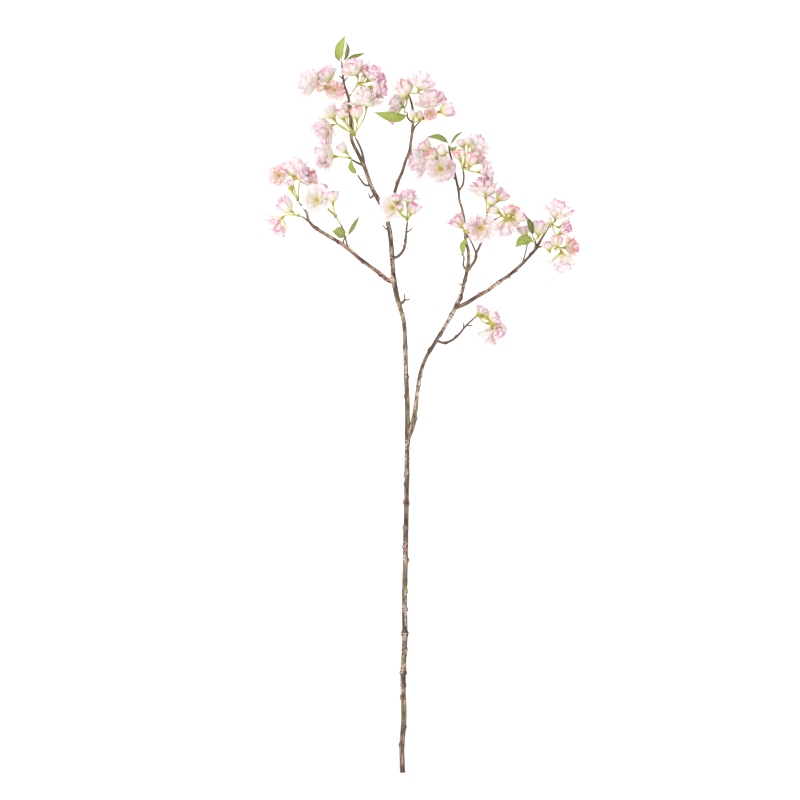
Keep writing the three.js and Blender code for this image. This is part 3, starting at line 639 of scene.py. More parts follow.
def ring_corners(places, side, across, turns, radii):
    """The corners of rings round a curve, and then the curve's two ends."""
    out = side[:, None] * np.cos(turns)[:, None] + across[:, None] * np.sin(turns)[:, None]
    rings = places[:, None] + out * radii[..., None]
    return np.vstack([rings.reshape(-1, 3), places[0], places[-1]])


def tube(growth, places, radii, sides, tint, grain=0.0, finish=0):
    """Adds a closed tube. radii, tint and grain may differ from ring to ring."""
    _, side, across = frames_along(places)
    turns = np.linspace(0, 2 * np.pi, sides, endpoint=False)
    radii = np.broadcast_to(np.asarray(radii, float).reshape(-1, 1), (len(places), sides))
    corners = ring_corners(places, side, across, turns, radii)
    tints = np.broadcast_to(tint, (len(places), 4))
    tints = np.vstack([np.repeat(tints, sides, axis=0), tints[0], tints[-1]])
    far = np.linspace(0, 1, len(places))
    grains = stacked(turns / (2 * np.pi), far[:, None], 0.0).reshape(-1, 3)
    grains = np.vstack([grains, grains[0], grains[-1]]) + grain
    growth.add(corners, tube_faces(len(places), sides), tints, grains, finish=finish)


# Bark.


def bark_rings(shoot, points, step, sides, roughness, knobs=(), ringed=0.0, red=0.0, pale=0.0):
    """Adds one woody limb, with its ridges, wrinkles, ring scars and knobs modelled."""
    points = np.asarray(points, float)
    places, shares = curve_through(points[:, :3])
    thick = np.interp(shares, np.arange(len(points)), points[:, 3])
    places, far, thick = evenly(places, step, thick)
    along, side, across = frames_along(places)
    turns = np.linspace(0, 2 * np.pi, sides, endpoint=False)
    shift = seeded("bark", *points[0]).uniform(0, 30, 3)
    ring = np.stack([np.cos(turns), np.sin(turns)], -1)[None] * thick[:, None, None]

    def bumps(around, lengthwise, turn=0):
        places = np.dstack([ring * around, np.repeat(far[:, None] * lengthwise, sides, axis=1)])
        return noise(places + shift + turn * 7.3)

    ridges = bumps(0.95, 0.055) + 0.5 * bumps(1.9, 0.13, 1)
    patches = smooth(0.5 + 1.6 * bumps(0.05, 0.028, 2))
    wrinkles = (1 - 2.4 * np.abs(bumps(0.16, 0.42, 3))) * patches
    lumps = bumps(0.3, 0.11, 4)
    grit = bumps(2.3, 1.2, 5)
    swelling = bumps(0.02, 0.05, 6)
    relief = roughness * (0.26 * ridges + 0.27 * wrinkles + 0.1 * grit)
    height = relief + roughness * (0.3 * lumps + 0.22 * swelling)
    scars = np.zeros_like(height)
    if ringed:
        phase = 2 * np.pi * far[:, None] / RING_GAP + 3.4 * bumps(0.3, 0.25, 8)
        scars = ringed * np.cos(phase) * (0.5 + 0.9 * bumps(0.4, 0.3, 7))
    for x, y, size in knobs:
        nearest = np.argmin((places[:, 0] - x) ** 2 + (places[:, 1] - y) ** 2)
        way = np.array([x - places[nearest, 0], y - places[nearest, 1], 0.0])
        way = way - along[nearest] * (way @ along[nearest])
        angle = math.atan2(way @ across[nearest], way @ side[nearest])
        apart = np.angle(np.exp(1j * (turns - angle)))
        off = far - far[nearest]
        bump = np.exp(-((off / (1.5 + size)) ** 2))[:, None] * np.exp(-((apart / 0.75) ** 2))[None]
        collar = np.exp(-((off / 3.6) ** 2))[:, None]
        scars = scars + 0.22 * collar * np.cos(2 * np.pi * off / SCAR_GAP)[:, None]
        height = height + 0.85 * size * bump + 0.3 * collar
    height = height + scars
    taper = smooth(far / 1.5) * smooth((far[-1] - far) / 1.5)
    radii = thick[:, None] + height * (0.35 + 0.65 * taper[:, None])
    radii = np.maximum(radii, 0.45 * thick[:, None])

    # The colour value follows the relief. It paints shade into the hollows and a highlight onto the ridges,
    # knobs and ring scars, on top of each limb's own paleness.
    tone_and_painted_relief_shade = 0.5 + pale + 0.85 * (relief + 0.8 * scars + 0.25 * roughness * lumps)
    tone_and_painted_relief_shade = np.clip(tone_and_painted_relief_shade, 0, 1).reshape(-1)
    green = np.zeros(len(places))
    for x, y, reach in GREEN_BARK:
        apart = np.hypot(places[:, 0] - x, places[:, 1] - y)
        green = np.maximum(green, np.exp(-((apart / reach) ** 2)))
    slim = np.clip(2.2 - thick / 1.2, 0, 1)
    tints = stacked(tone_and_painted_relief_shade, np.repeat(green, sides), red, np.repeat(slim, sides))
    cap = [[0.5, green[0], red, slim[0]], [0.4, green[-1], red, slim[-1]]]
    around = np.dstack([ring, np.repeat(far[:, None], sides, axis=1)]).reshape(-1, 3)
    grains = np.vstack([around, [0, 0, 0], [0, 0, far[-1]]]) + shift
    corners = ring_corners(places, side, across, turns, radii)
    shoot.add(corners, tube_faces(len(places), sides), np.vstack([tints, cap]), grains)


# Closed thin sheets, which petals, sepals and leaf blades are. Their outlines are their widths along
# them, as shares of the widest. A petal's begins with its claw.
PETAL_OUTLINE = [0, 0.12, 0.35, 0.62, 0.82, 0.94, 1], [0.42, 0.8, 0.99, 1, 0.9, 0.66]
SEPAL_OUTLINE = [0, 0.25, 0.6, 0.85, 1], [0.72, 1, 0.72, 0.34, 0.05]
LEAF_OUTLINE = (
    [0, 0.08, 0.22, 0.4, 0.58, 0.75, 0.88, 0.96, 1],
    [0.06, 0.36, 0.82, 1.02, 0.92, 0.6, 0.26, 0.1, 0.02],
)


def grid(rows, columns):
    """How far each corner of a sheet is along it, from 0 to 1, and across it, from -1 to 1."""
    u = np.linspace(0, 1, rows + 1)[:, None] * np.ones(columns + 1)
    v = np.linspace(-1, 1, columns + 1)[None] * np.ones((rows + 1, 1))
    return u, v


def sheet_faces(rows, columns):
    """Faces of a closed sheet: its front, and its back with the same rim. Corners of the front come
    first, row by row, and those inside the back's rim follow."""
    front = np.arange((rows + 1) * (columns + 1)).reshape(rows + 1, columns + 1)
    back = front.copy()
    back[1:-1, 1:-1] = np.arange((rows - 1) * (columns - 1)).reshape(rows - 1, columns - 1) + front.size
    quads = []
    for side, order in ((front, 1), (back, -1)):
        corners = stacked(side[:-1, :-1], side[:-1, 1:], side[1:, 1:], side[1:, :-1])
        quads.append(corners.reshape(-1, 4)[:, ::order])
    behind = np.repeat([0.0, 1.0], rows * columns)
    return np.vstack(quads), behind


def closed_sheet(growth, front, up, thickness, tint, grain, finish=0):
    """Adds a closed sheet from its front grid. up is the way the front looks, roughly."""
    rows, columns = front.shape[0] - 1, front.shape[1] - 1
    normal = unit(np.cross(np.gradient(front, axis=1), np.gradient(front, axis=0)))
    turned = np.sum(normal * up) < 0
    if turned:
        normal = -normal
    under = (front - normal * thickness)[1:-1, 1:-1]
    places = np.vstack([front.reshape(-1, 3), under.reshape(-1, 3)])
    faces, behind = sheet_faces(rows, columns)
    if turned:
        faces = faces[:, ::-1]
    inner = np.s_[1:-1, 1:-1]
    tints = np.vstack([tint.reshape(-1, 4), tint[inner].reshape(-1, 4)])
    grains = np.vstack([grain.reshape(-1, 3), grain[inner].reshape(-1, 3)])
    growth.add(places, faces, tints, grains, backs=behind, finish=finish)


def leaning_midline(length, start, end, curl, foot):
    """A petal's middle line as radius, height and lean, from its foot at the given radius."""
    share = np.linspace(0, 1, MIDLINE_STEPS + 1)
    lean = start + (end - start) * smooth(share / 0.7) + curl * smooth((share - 0.6) / 0.4)
    step = length / MIDLINE_STEPS
    radius = foot + np.concatenate([[0], np.cumsum(np.sin((lean[1:] + lean[:-1]) / 2))]) * step
    height = np.concatenate([[0], np.cumsum(np.cos((lean[1:] + lean[:-1]) / 2))]) * step
    return radius, height, lean


def closing_midline(half, length, foot):
    """The middle line of a petal that closes over a bud."""
    share = np.linspace(0, 1, MIDLINE_STEPS + 1)
    radius = foot + (half - foot) * np.sin(np.pi * np.clip(share * 0.93 + 0.02, 0, 1) ** 0.92) ** 0.72
    height = length * share
    lean = np.arctan2(np.gradient(radius), np.gradient(height))
    return radius, height, lean


def along_midline(midline, share):
    """A midline's radius, height and lean at each corner's share of it."""
    return [np.interp(share * MIDLINE_STEPS, np.arange(MIDLINE_STEPS + 1), line) for line in midline]


def swung(axes, place, radius, height, lean, bend):
    """Corners turned about a flower's axis to the angles in bend, the way round the axis there,
    and the way that the sheet's inner side looks."""
    x_axis, y_axis, z_axis = axes
    outward = np.cos(bend)[..., None] * x_axis + np.sin(bend)[..., None] * y_axis
    tangent = -np.sin(bend)[..., None] * x_axis + np.cos(bend)[..., None] * y_axis
    normal = -np.cos(lean)[..., None] * outward + np.sin(lean)[..., None] * z_axis
    return place + radius[..., None] * outward + height[..., None] * z_axis, tangent, normal


def petal(growth, midline, half, turn, place, axes, look, rng, wrap):
    """Adds one petal. half is its half-width, turn its angle about the flower's axis, look says how
    it is notched, cupped, ruffled, twisted and coloured, and wrap how far it goes round the axis."""
    u, v = grid(PETAL_ROWS, PETAL_COLUMNS)
    v = np.sign(v) * np.abs(v) ** 0.85
    shares, widths = PETAL_OUTLINE
    outline = np.interp(u, shares, [look["claw"], *widths])
    skew = look["skew"] * v * u**3
    reach = u * (1 - 0.13 * v**2 * u**5 - look["notch"] * np.exp(-((v / 0.3) ** 2)) * u**5 + skew)
    reach = reach + look["teeth"] * np.cos(look["tooth"] * v) * u**6
    radius, height, lean = along_midline(midline, np.clip(reach, 0, 1))

    width = half * outline
    twist = look["twist"] * u**1.5
    ruffle = look["ruffle"] * half * np.sin(look["waves"] * v + look["phase"]) * u**1.6
    ruffle += 0.5 * look["ruffle"] * half * np.sin(9 * u + look["phase"] * 3) * np.abs(v) ** 1.5
    sideways = v * width * np.cos(twist)
    lift = look["cup"] * width * v**2 + ruffle + v * width * np.sin(twist)
    lift += look["lap"] * v * (1.2 - u)

    bend = turn + look["swirl"] * u + wrap * sideways / np.maximum(radius, 0.4 * half)
    straight = (1 - wrap) * sideways
    front, tangent, normal = swung(axes, place, radius, height, lean, bend)
    front = front + straight[..., None] * tangent + lift[..., None] * normal

    edge = np.maximum(np.abs(v) ** 6 * smooth(u * 2.2 - 0.1), smooth((u - 0.86) / 0.14))
    tint = stacked(u, edge, 0.0, look["blush"])
    grain = stacked(v * half, u * 12, look["batch"] + rng.uniform(0, 1.5))
    closed_sheet(growth, front, normal, PETAL_THICKNESS, tint, grain)


def petal_look(rng, **settled):
    """How a petal is shaped and coloured: what is settled, and draws for the rest. The draws are
    made for what is settled too, so that the others stay the same."""
    look = {
        "claw": 0.24,
        "notch": rng.uniform(0.03, 0.13),
        "skew": rng.uniform(-0.06, 0.06),
        "teeth": rng.uniform(0.0, 0.012),
        "tooth": rng.uniform(9, 14),
        "cup": rng.uniform(0.08, 0.4),
        "ruffle": rng.uniform(0.05, 0.16),
        "waves": rng.uniform(2.5, 5),
        "phase": rng.uniform(0, 6.28),
        "twist": rng.normal(0, 0.22),
        "swirl": rng.normal(0, 0.06),
        "lap": 0.0,
    }
    look.update(settled)
    return look


def degrees(*angles):
    return [math.radians(angle) for angle in angles]


# Layers of an open flower's petals from the outside in, as the number, then the lean in degrees at
# the foot and at the tip and the length in a flower seen from the side, and the lean and the length
# in one that opens flat.
OPEN_LAYERS = [
    (9, (80, 54, 0.9), (84, 1.0)),
    (8, (66, 37, 0.97), (81, 0.9)),
    (7, (50, 20, 1.0), (76, 0.7)),
    (5, (32, 6, 0.97), (66, 0.46)),
]

# The half-width of an open flower's petals, as a share of the longest.
PETAL_SLIMNESS = 0.215

# Layers of a half-open flower's petals, as the number, the lean at the foot and towards the tip in
# degrees, the length and half-width as shares of the flower's half-width, and the cup.
HALF_LAYERS = [
    (7, 68, 6, 1.95, 0.48, 0.2),
    (6, 56, 2, 1.95, 0.44, 0.26),
    (6, 42, 0, 1.8, 0.38, 0.34),
    (4, 22, 0, 1.6, 0.3, 0.4),
]

# Layers of a bud's petals, as the number, and the width and length against the bud's own. A bud is
# longer than it is wide.
CLOSED_LAYERS = [(5, 1.0, 1.0), (4, 0.88, 1.02)]
BUD_LENGTH = 1.28


def flower_axes(facing, rng):
    """The flower's three directions, the last of them the way it faces."""
    z_axis = unit(np.asarray(facing, float))
    start = np.array([0.0, 0, 1]) if abs(z_axis[2]) < 0.9 else np.array([1.0, 0, 0])
    x_axis = unit(np.cross(start, z_axis))
    y_axis = np.cross(z_axis, x_axis)
    turn = rng.uniform(0, 2 * np.pi)
    turned = x_axis * math.cos(turn) + y_axis * math.sin(turn)
    return turned, np.cross(z_axis, turned), z_axis


def blossom(
    growth, kind, width, base, facing, rng, blush, strap, spread=1.0, peach=False, anthers=16
):
    """Adds a flower's petals, and its stamens if it is open enough to show them."""
    axes = flower_axes(facing, rng)
    half = width / 2
    foot = base + axes[2] * 0.4
    batch = rng.uniform(0, 40) - 60 * peach
    if kind == BUD:
        closed_petals(growth, half, foot, axes, blush, batch, rng)
        return
    start = rng.uniform(0, 6.28)
    if kind == OPEN:
        flat = float(np.clip(axes[2][2] * 1.3 - 0.3, 0, 1))
        layers, wrap = open_layers(half, spread, flat), 0.25
    else:
        layers, wrap = half_layers(half, rng.uniform(-10, 14)), 0.65
    for depth, (number, lean, tip_lean, reach, wide, cup) in enumerate(layers):
        start += 2 * np.pi / number * 0.5 + rng.normal(0, 0.1)
        for i in range(number):
            leans = degrees(
                lean + rng.normal(0, 5), tip_lean + rng.normal(0, 8), rng.uniform(-14, 14)
            )
            midline = leaning_midline(reach * rng.uniform(0.88, 1.06), *leans, 1.1 - 0.2 * depth)
            look = petal_look(
                rng, cup=cup * rng.uniform(0.4, 1.4), batch=batch,
                blush=min(1, blush * math.exp(rng.normal(-0.15, 0.55))),
            )
            turn = start + 2 * np.pi * i / number + rng.normal(0, 0.09)
            across = wide * strap * rng.uniform(0.82, 1.18)
            petal(growth, midline, across, turn, foot, axes, look, rng, wrap)
    if kind == OPEN:
        stamens(growth, foot, axes, half, anthers, rng)


def closed_petals(growth, half, foot, axes, blush, batch, rng):
    """Adds a bud's petals, which are wound over each other."""
    for number, wide, tall in CLOSED_LAYERS:
        start = rng.uniform(0, 6.28)
        for i in range(number):
            length = 2 * half * BUD_LENGTH * tall * rng.uniform(0.97, 1.03)
            midline = closing_midline(half * wide, length, 0.8)
            look = petal_look(
                rng, cup=0.0, ruffle=0.006, twist=0.0, notch=0.03, teeth=0.0, lap=0.045 * half,
                swirl=0.5, blush=blush * rng.uniform(0.8, 1.2), claw=0.5, skew=0.02, batch=batch,
            )
            turn = start + 2 * np.pi * i / number + rng.normal(0, 0.06)
            petal(growth, midline, half * 0.86, turn, foot, axes, look, rng, wrap=1.0)


def open_layers(half, spread, flat):
    """Petal layers of an open flower. flat is how far it opens flat, from 0 to 1, and spread is how
    much more than usual its petals lean."""
    longest = half * (1.41 - 0.34 * flat)
    for depth, (number, (foot, tip, length), (flat_lean, flat_length)) in enumerate(OPEN_LAYERS):
        foot = spread * foot * (1 - flat) + 0.8 * flat_lean * flat
        tip = spread * tip * (1 - flat) + flat_lean * flat
        reach = longest * (length * (1 - flat) + flat_length * flat)
        wide = PETAL_SLIMNESS * longest * (1 + 0.4 * flat)
        yield number, foot, tip, reach, wide, 0.34 + 0.05 * depth


def half_layers(half, opened):
    """Petal layers of a half-open flower. opened is how far its outer petals stand off, in degrees."""
    for depth, (number, lean, tip, reach, wide, cup) in enumerate(HALF_LAYERS):
        yield number, lean, tip + opened / (1 + depth), half * reach, half * wide, cup


# The angle between a stamen and the next, in radians.
GOLDEN_TURN = 2.4


def stamens(growth, foot, axes, half, number, rng):
    """Adds filaments with their anthers."""
    for i in range(number):
        turn = GOLDEN_TURN * i
        lean = math.radians(4 + 26 * math.sqrt((i + 0.5) / number)) + rng.normal(0, 0.05)
        length = min(FILAMENT_LENGTH, 0.4 * half) * rng.uniform(0.8, 1.1)
        outward = axes[0] * math.cos(turn) + axes[1] * math.sin(turn)
        share = np.linspace(0, 1, 5)[:, None]
        way = unit(axes[2] * math.cos(lean) + outward * math.sin(lean))
        places = foot + way * length * share + axes[2] * 0.8 * share**2
        tube(growth, places, FILAMENT_RADIUS, 4, (0.2, 0, 0, 0), finish=1)
        tip = places[-1]
        long = unit(np.cross(way, axes[0]) + rng.normal(0, 0.3, 3))
        anther = tip + long * np.linspace(-0.55, 0.55, 5)[:, None]
        tube(growth, anther, ANTHER_RADII, 6, (1, 0, 0, rng.uniform(0, 1)), finish=1)


# Stalks.

# How sepals lean at the foot and towards the tip and curl at it, in degrees.
SEPAL_LEANS = {OPEN: (58, 70, 0), HALF: (52, 34, -10), BUD: (34, 22, -6)}


def pedicel_curve(hub, base, facing):
    """The stalk's middle line, which meets the flower along the way it faces."""
    reach = np.linalg.norm(base - hub)
    bend = base - facing * 0.45 * reach
    start = hub + (base - hub) * 0.3
    t = np.linspace(0, 1, 60)[:, None]
    return (1 - t) ** 3 * hub + 3 * (1 - t) ** 2 * t * start + 3 * (1 - t) * t**2 * bend + t**3 * base


def pedicel(growth, hub, base, facing, kind, width, rng):
    """Adds a flower's stalk, its calyx tube and its five sepals."""
    places = pedicel_curve(hub, base, facing)
    places, far = evenly(places, STALK_STEP)
    total = far[-1]
    size = 1.0 if kind != BUD else np.clip(width / 17, 0.45, 1)
    calyx = min(CALYX_LENGTH * size, total / 2.6)
    share = (far - (total - calyx)) / calyx
    thick = PEDICEL_RADIUS * (0.9 + 0.1 * size)
    urn = np.interp(share, [0, 0.22, 0.5, 0.8, 1.0], [0, 0.42, 0.8, 0.86, 1.0])
    radii = thick + (CALYX_RADIUS * size - thick) * np.where(share > 0, urn, 0)
    radii = radii + 0.35 * np.exp(-((far / 1.6) ** 2))
    green = np.clip(far / total, 0, 1)
    tints = stacked(green, np.clip(share, 0, 1), 0.0, rng.uniform())
    tube(growth, places, radii, STALK_SIDES, tints, grain=rng.uniform(0, 20, 3))
    axes = flower_axes(facing, rng)
    for i in range(5):
        length = SEPAL_LENGTH * size * rng.uniform(0.9, 1.1)
        midline = leaning_midline(length, *degrees(*SEPAL_LEANS[kind]), CALYX_RADIUS * size * 0.8)
        turn = 2 * np.pi * i / 5
        sepal(growth, midline, SEPAL_HALF_WIDTH * size, turn, base - facing * 0.5, axes, rng)


def sepal(growth, midline, half, turn, place, axes, rng):
    """Adds one pointed sepal or bract."""
    u, v = grid(SEPAL_ROWS, SEPAL_COLUMNS)
    width = half * np.interp(u, *SEPAL_OUTLINE)
    radius, height, lean = along_midline(midline, u)
    bend = turn + v * width / np.maximum(radius, 1)
    front, _, normal = swung(axes, place, radius, height, lean, bend)
    tint = stacked(0.8, u, 0.4, rng.uniform())
    grain = stacked(v * half, u * 6, rng.uniform(0, 40))
    closed_sheet(growth, front, normal, SEPAL_THICKNESS, tint, grain)


def peduncle(growth, root, hub, rng):
    """Adds the short stem that carries an umbel, with the bud scales round its hub."""
    root, hub = np.asarray(root, float), np.asarray(hub, float)
    way = unit(hub - root)
    far = np.linspace(0, 1, PEDUNCLE_RINGS)
    places = root + (hub - root) * far[:, None]
    radii = PEDUNCLE_RADIUS + 0.22 * np.cos(far * 22) + 0.55 * smooth((far - 0.6) / 0.4)
    radii[-1] *= 0.6
    tints = stacked(far * 0.25, 0.0, 0.0, 0.5)
    tube(growth, places, radii, 10, tints, grain=rng.uniform(0, 20, 3))
    axes = flower_axes(way, rng)
    for i in range(6):
        lean = rng.uniform(14, 50)
        midline = leaning_midline(rng.uniform(3.6, 6.2), *degrees(lean + 12, lean, -8), 0.9)
        place = hub - way * rng.uniform(0.6, 2.6)
        sepal(growth, midline, SCALE_HALF_WIDTH, 2 * np.pi * i / 6, place, axes, rng)


# Leaves.


def leaf(growth, half, points, face, rng, tone, finish=0):
    """Adds a leaf: its stalk, and a toothed blade folded along its midrib with raised veins."""
    places, _ = curve_through(points)
    places, far = evenly(places, np.linalg.norm(np.diff(places, axis=0), axis=1).sum() / LEAF_ROWS)
    along = unit(np.gradient(places, axis=0))
    up = np.asarray(face, float)
    up = unit(up - along * (along @ up)[:, None])
    across = np.cross(along, up)
    u = (far / far[-1])[:, None] * np.ones(LEAF_COLUMNS + 1)
    _, v = grid(LEAF_ROWS, LEAF_COLUMNS)
    share = np.clip((u - LEAF_STALK_SHARE) / (1 - LEAF_STALK_SHARE), 0, 1)
    outline = np.interp(share, *LEAF_OUTLINE)
    teeth = 1 + LEAF_TOOTH * (np.arange(LEAF_ROWS + 1) % 2)[:, None] * (np.abs(v) > 0.99)
    width = half * outline * teeth
    wave = 0.1 * half * np.sin(14 * u + rng.uniform(0, 6)) * v**2
    vein = np.cos(2 * np.pi * (7.5 * share - 1.6 * np.abs(v)))
    ribs = 0.12 * (1 - np.clip(vein, 0, 1) ** 2) * (1 - np.abs(v) ** 4) * np.minimum(1, outline * 2)
    lift = LEAF_FOLD * width * np.abs(v) + wave + ribs - 0.12 * np.exp(-((v / 0.12) ** 2))
    front = places[:, None] + across[:, None] * (v * width)[..., None] + up[:, None] * lift[..., None]
    rib = np.maximum(np.clip(vein, 0, 1) ** 6, np.exp(-((v / 0.1) ** 2)))
    edge = np.maximum(np.abs(v) ** 6, smooth((share - 0.88) / 0.12))
    tint = stacked(edge, rib, 0.0, tone)
    grain = stacked(v * half, u * far[-1], rng.uniform(0, 40))
    closed_sheet(growth, front, up[:, None], LEAF_THICKNESS, tint, grain, finish)
    stalk = places[: LEAF_ROWS // 3] - up[: LEAF_ROWS // 3] * 0.35
    tube(growth, stalk, np.linspace(0.75, 0.35, len(stalk)), 6, (0, 1, 0, tone), finish=finish)


# Materials.

# A petal from its foot to its tip, and from the palest to the deepest pink.
PETAL_BODY = [
    (0.0, (224, 214, 88)), (0.12, (246, 239, 156)), (0.34, (254, 250, 212)),
    (0.58, (255, 253, 245)), (1.0, (255, 252, 255)),
]
PETAL_PINKS = [(0.0, (255, 243, 252)), (0.4, (253, 202, 232)), (1.0, (224, 114, 172))]

# A flower's stalk from its foot to the flower.
STALK_GREENS = [
    (0.0, (132, 112, 70)), (0.1, (178, 168, 84)), (0.3, (208, 206, 104)),
    (0.7, (204, 200, 84)), (1.0, (172, 166, 30)),
]

# Bark from its hollows to its heights: painted shade in the hollows and a painted highlight on the ridges,
# over the bark's own grain and tone.
BARK_BROWNS = [
    (0.12, (30, 20, 16)), (0.34, (62, 46, 37)), (0.52, (104, 83, 68)),
    (0.7, (160, 138, 119)), (0.9, (226, 210, 194)),
]


class Nodes:
    """A material's node tree, built a node at a time."""

    def __init__(self, name):
        self.material = bpy.data.materials.new(name)
        self.material.use_nodes = True
        self.tree = self.material.node_tree
        self.tree.nodes.clear()
        self.output = self.tree.nodes.new("ShaderNodeOutputMaterial")

    def add(self, kind, inputs=(), **settings):
        """Adds a node. inputs maps a socket's name or number to a value or to another's output."""
        node = self.tree.nodes.new("ShaderNode" + kind)
        for key, value in settings.items():
            setattr(node, key, value)
        for key, value in dict(inputs).items():
            self.put(node.inputs[key], value)
        return node

    def put(self, socket, value):
        """Gives a socket another's output or a value. Colours count from 0 to 255, as they look."""
        if isinstance(value, bpy.types.NodeSocket):
            self.tree.links.new(value, socket)
        elif socket.type == "RGBA":
            socket.default_value = srgb(*value)
        else:
            socket.default_value = value

    def math(self, operation, first, second=0.0, third=0.0, clamp=False):
        node = self.add("Math", operation=operation, use_clamp=clamp)
        for socket, value in zip(node.inputs, (first, second, third)):
            self.put(socket, value)
        return node.outputs[0]

    def times(self, first, second, clamp=False):
        return self.math("MULTIPLY", first, second, clamp=clamp)

    def plus(self, value, slope, start, clamp=False):
        """start with slope times the value added."""
        return self.math("MULTIPLY_ADD", value, slope, start, clamp)

    def less(self, value, amount, clamp=False):
        return self.math("SUBTRACT", value, amount, clamp=clamp)

    def mix(self, share, first, second, blend="MIX"):
        node = self.add("Mix", data_type="RGBA", blend_type=blend, clamp_factor=True)
        for name, value in (("Factor_Float", share), ("A_Color", first), ("B_Color", second)):
            self.put(next(s for s in node.inputs if s.identifier == name), value)
        return next(s for s in node.outputs if s.identifier == "Result_Color")

    def ramp(self, share, stops):
        node = self.add("ValToRGB")
        self.put(node.inputs[0], share)
        marks = node.color_ramp.elements
        while len(marks) < len(stops):
            marks.new(0.5)
        for mark, (position, colour) in zip(marks, stops):
            mark.position = position
            mark.color = srgb(*colour)
        return node.outputs[0]

    def scaled(self, vector, scale):
        node = self.add("Mapping", {"Vector": vector, "Scale": scale})
        return node.outputs[0]

    def noise(self, vector, scale=1.0, detail=2.0, rough=0.5):
        inputs = {"Vector": vector, "Scale": scale, "Detail": detail, "Roughness": rough}
        return self.add("TexNoise", inputs).outputs["Fac"]

    def corner_values(self):
        """The tint's four values and the grain, as sockets."""
        tint = self.add("Attribute", attribute_name="tint", attribute_type="GEOMETRY")
        parts = self.add("SeparateColor", {"Color": tint.outputs["Color"]})
        grain = self.add("Attribute", attribute_name="grain", attribute_type="GEOMETRY")
        return (*parts.outputs[:3], tint.outputs["Alpha"], grain.outputs["Vector"])

    def finish(self, colour, rough, bump=None, through=0.0, passed=None, **more):
        """The finished material. bump is its strength, depth and height, and through the share of
        the light that goes through it, in the passed colour or in its own."""
        inputs = {"Base Color": colour, "Roughness": rough, **more}
        if bump:
            bump = self.add("Bump", dict(zip(("Strength", "Distance", "Height"), bump))).outputs[0]
            inputs["Normal"] = bump
        shader = self.add("BsdfPrincipled", inputs).outputs[0]
        if through:
            tissue = self.add("BsdfTranslucent", {"Color": passed or colour, "Normal": bump}).outputs[0]
            shader = self.add("MixShader", {0: through, 1: shader, 2: tissue}).outputs[0]
        self.tree.links.new(shader, self.output.inputs["Surface"])
        return self.material


def petal_material():
    nodes = Nodes("petal_tissue")
    rise, edge, back, blush, grain = nodes.corner_values()
    streaks = nodes.noise(nodes.scaled(grain, (2.2, 0.16, 1.0)), 1.0, 3.0, 0.6)
    cloud = nodes.noise(nodes.scaled(grain, (0.25, 0.16, 1.7)), 1.0, 1.0)
    body = nodes.ramp(rise, PETAL_BODY)
    towards_tip = nodes.math("POWER", rise, 3.0)
    pink = nodes.plus(edge, 0.75, nodes.times(towards_tip, 0.14))
    pink = nodes.plus(back, nodes.times(rise, 0.08), pink)
    pink = nodes.plus(nodes.less(streaks, 0.5), 0.3, pink)
    pink = nodes.plus(nodes.less(cloud, 0.5), 0.35, pink)
    strength = nodes.plus(blush, 1.7, 0.05)
    pink = nodes.times(pink, strength, clamp=True)
    pinks = nodes.ramp(pink, PETAL_PINKS)
    warmth = nodes.noise(nodes.scaled(grain, (0.0, 0.0, 0.73)), 1.0, 0.0)
    warmth = nodes.times(nodes.plus(warmth, 3.0, -1.2, clamp=True), 0.3)
    peach = nodes.math("LESS_THAN", nodes.add("SeparateXYZ", {"Vector": grain}).outputs["Z"], 0.0)
    warmth = nodes.math("MAXIMUM", warmth, nodes.times(peach, 0.6))
    pinks = nodes.mix(warmth, pinks, (252, 182, 160))
    share = nodes.times(pink, nodes.plus(rise, 2.4, -0.3, clamp=True))
    share = nodes.times(share, 1.25, clamp=True)
    colour = nodes.mix(share, body, pinks)
    inner = nodes.plus(rise, -0.9, 0.5, clamp=True)
    passed = nodes.mix(inner, colour, (255, 244, 180), "MULTIPLY")
    sheen = {"Sheen Weight": 0.15, "IOR": 1.4}
    return nodes.finish(colour, 0.6, (0.25, 0.0002, streaks), 0.5, passed, **sheen)


def stamen_material():
    nodes = Nodes("stamens")
    anther, _, _, tone, grain = nodes.corner_values()
    grains = nodes.noise(grain, 6.0, 2.0)
    orange = nodes.mix(tone, (250, 196, 84), (240, 150, 44))
    colour = nodes.mix(anther, (250, 240, 190), orange)
    colour = nodes.mix(nodes.times(grains, 0.25), colour, (190, 116, 40))
    return nodes.finish(colour, 0.75, (0.3, 0.0001, grains))


def stalk_material():
    nodes = Nodes("green_stalk")
    rise, calyx, _, tone, grain = nodes.corner_values()
    fibres = nodes.noise(nodes.scaled(grain, (3.0, 0.5, 1.0)), 1.5, 3.0)
    colour = nodes.ramp(rise, STALK_GREENS)
    colour = nodes.mix(nodes.times(calyx, 0.8), colour, (172, 162, 14))
    flushed = nodes.times(nodes.less(fibres, 0.42, clamp=True), 0.9)
    colour = nodes.mix(flushed, colour, (156, 112, 62))
    lighter = nodes.mix(tone, (255, 255, 255), (216, 220, 190))
    colour = nodes.mix(0.6, colour, lighter, "MULTIPLY")
    return nodes.finish(colour, 0.5, (0.3, 0.0002, fibres))


def leaf_material():
    nodes = Nodes("leaf_blade")
    edge, rib, back, tone, grain = nodes.corner_values()
    mottle = nodes.noise(nodes.scaled(grain, (0.5, 0.5, 1.0)), 1.0, 4.0, 0.6)
    cells = nodes.noise(grain, 3.2, 3.0)
    light = nodes.mix(mottle, (190, 204, 84), (152, 174, 52))
    dark = nodes.mix(mottle, (106, 116, 40), (72, 84, 26))
    colour = nodes.mix(tone, light, dark)
    colour = nodes.mix(nodes.times(rib, 0.4), colour, (206, 210, 140))
    colour = nodes.mix(nodes.times(back, 0.3), colour, (182, 190, 120))
    rusty = nodes.times(edge, nodes.plus(tone, 0.6, 0.25), clamp=True)
    colour = nodes.mix(rusty, colour, (128, 84, 48))
    return nodes.finish(colour, 0.45, (0.35, 0.0002, cells), 0.22)


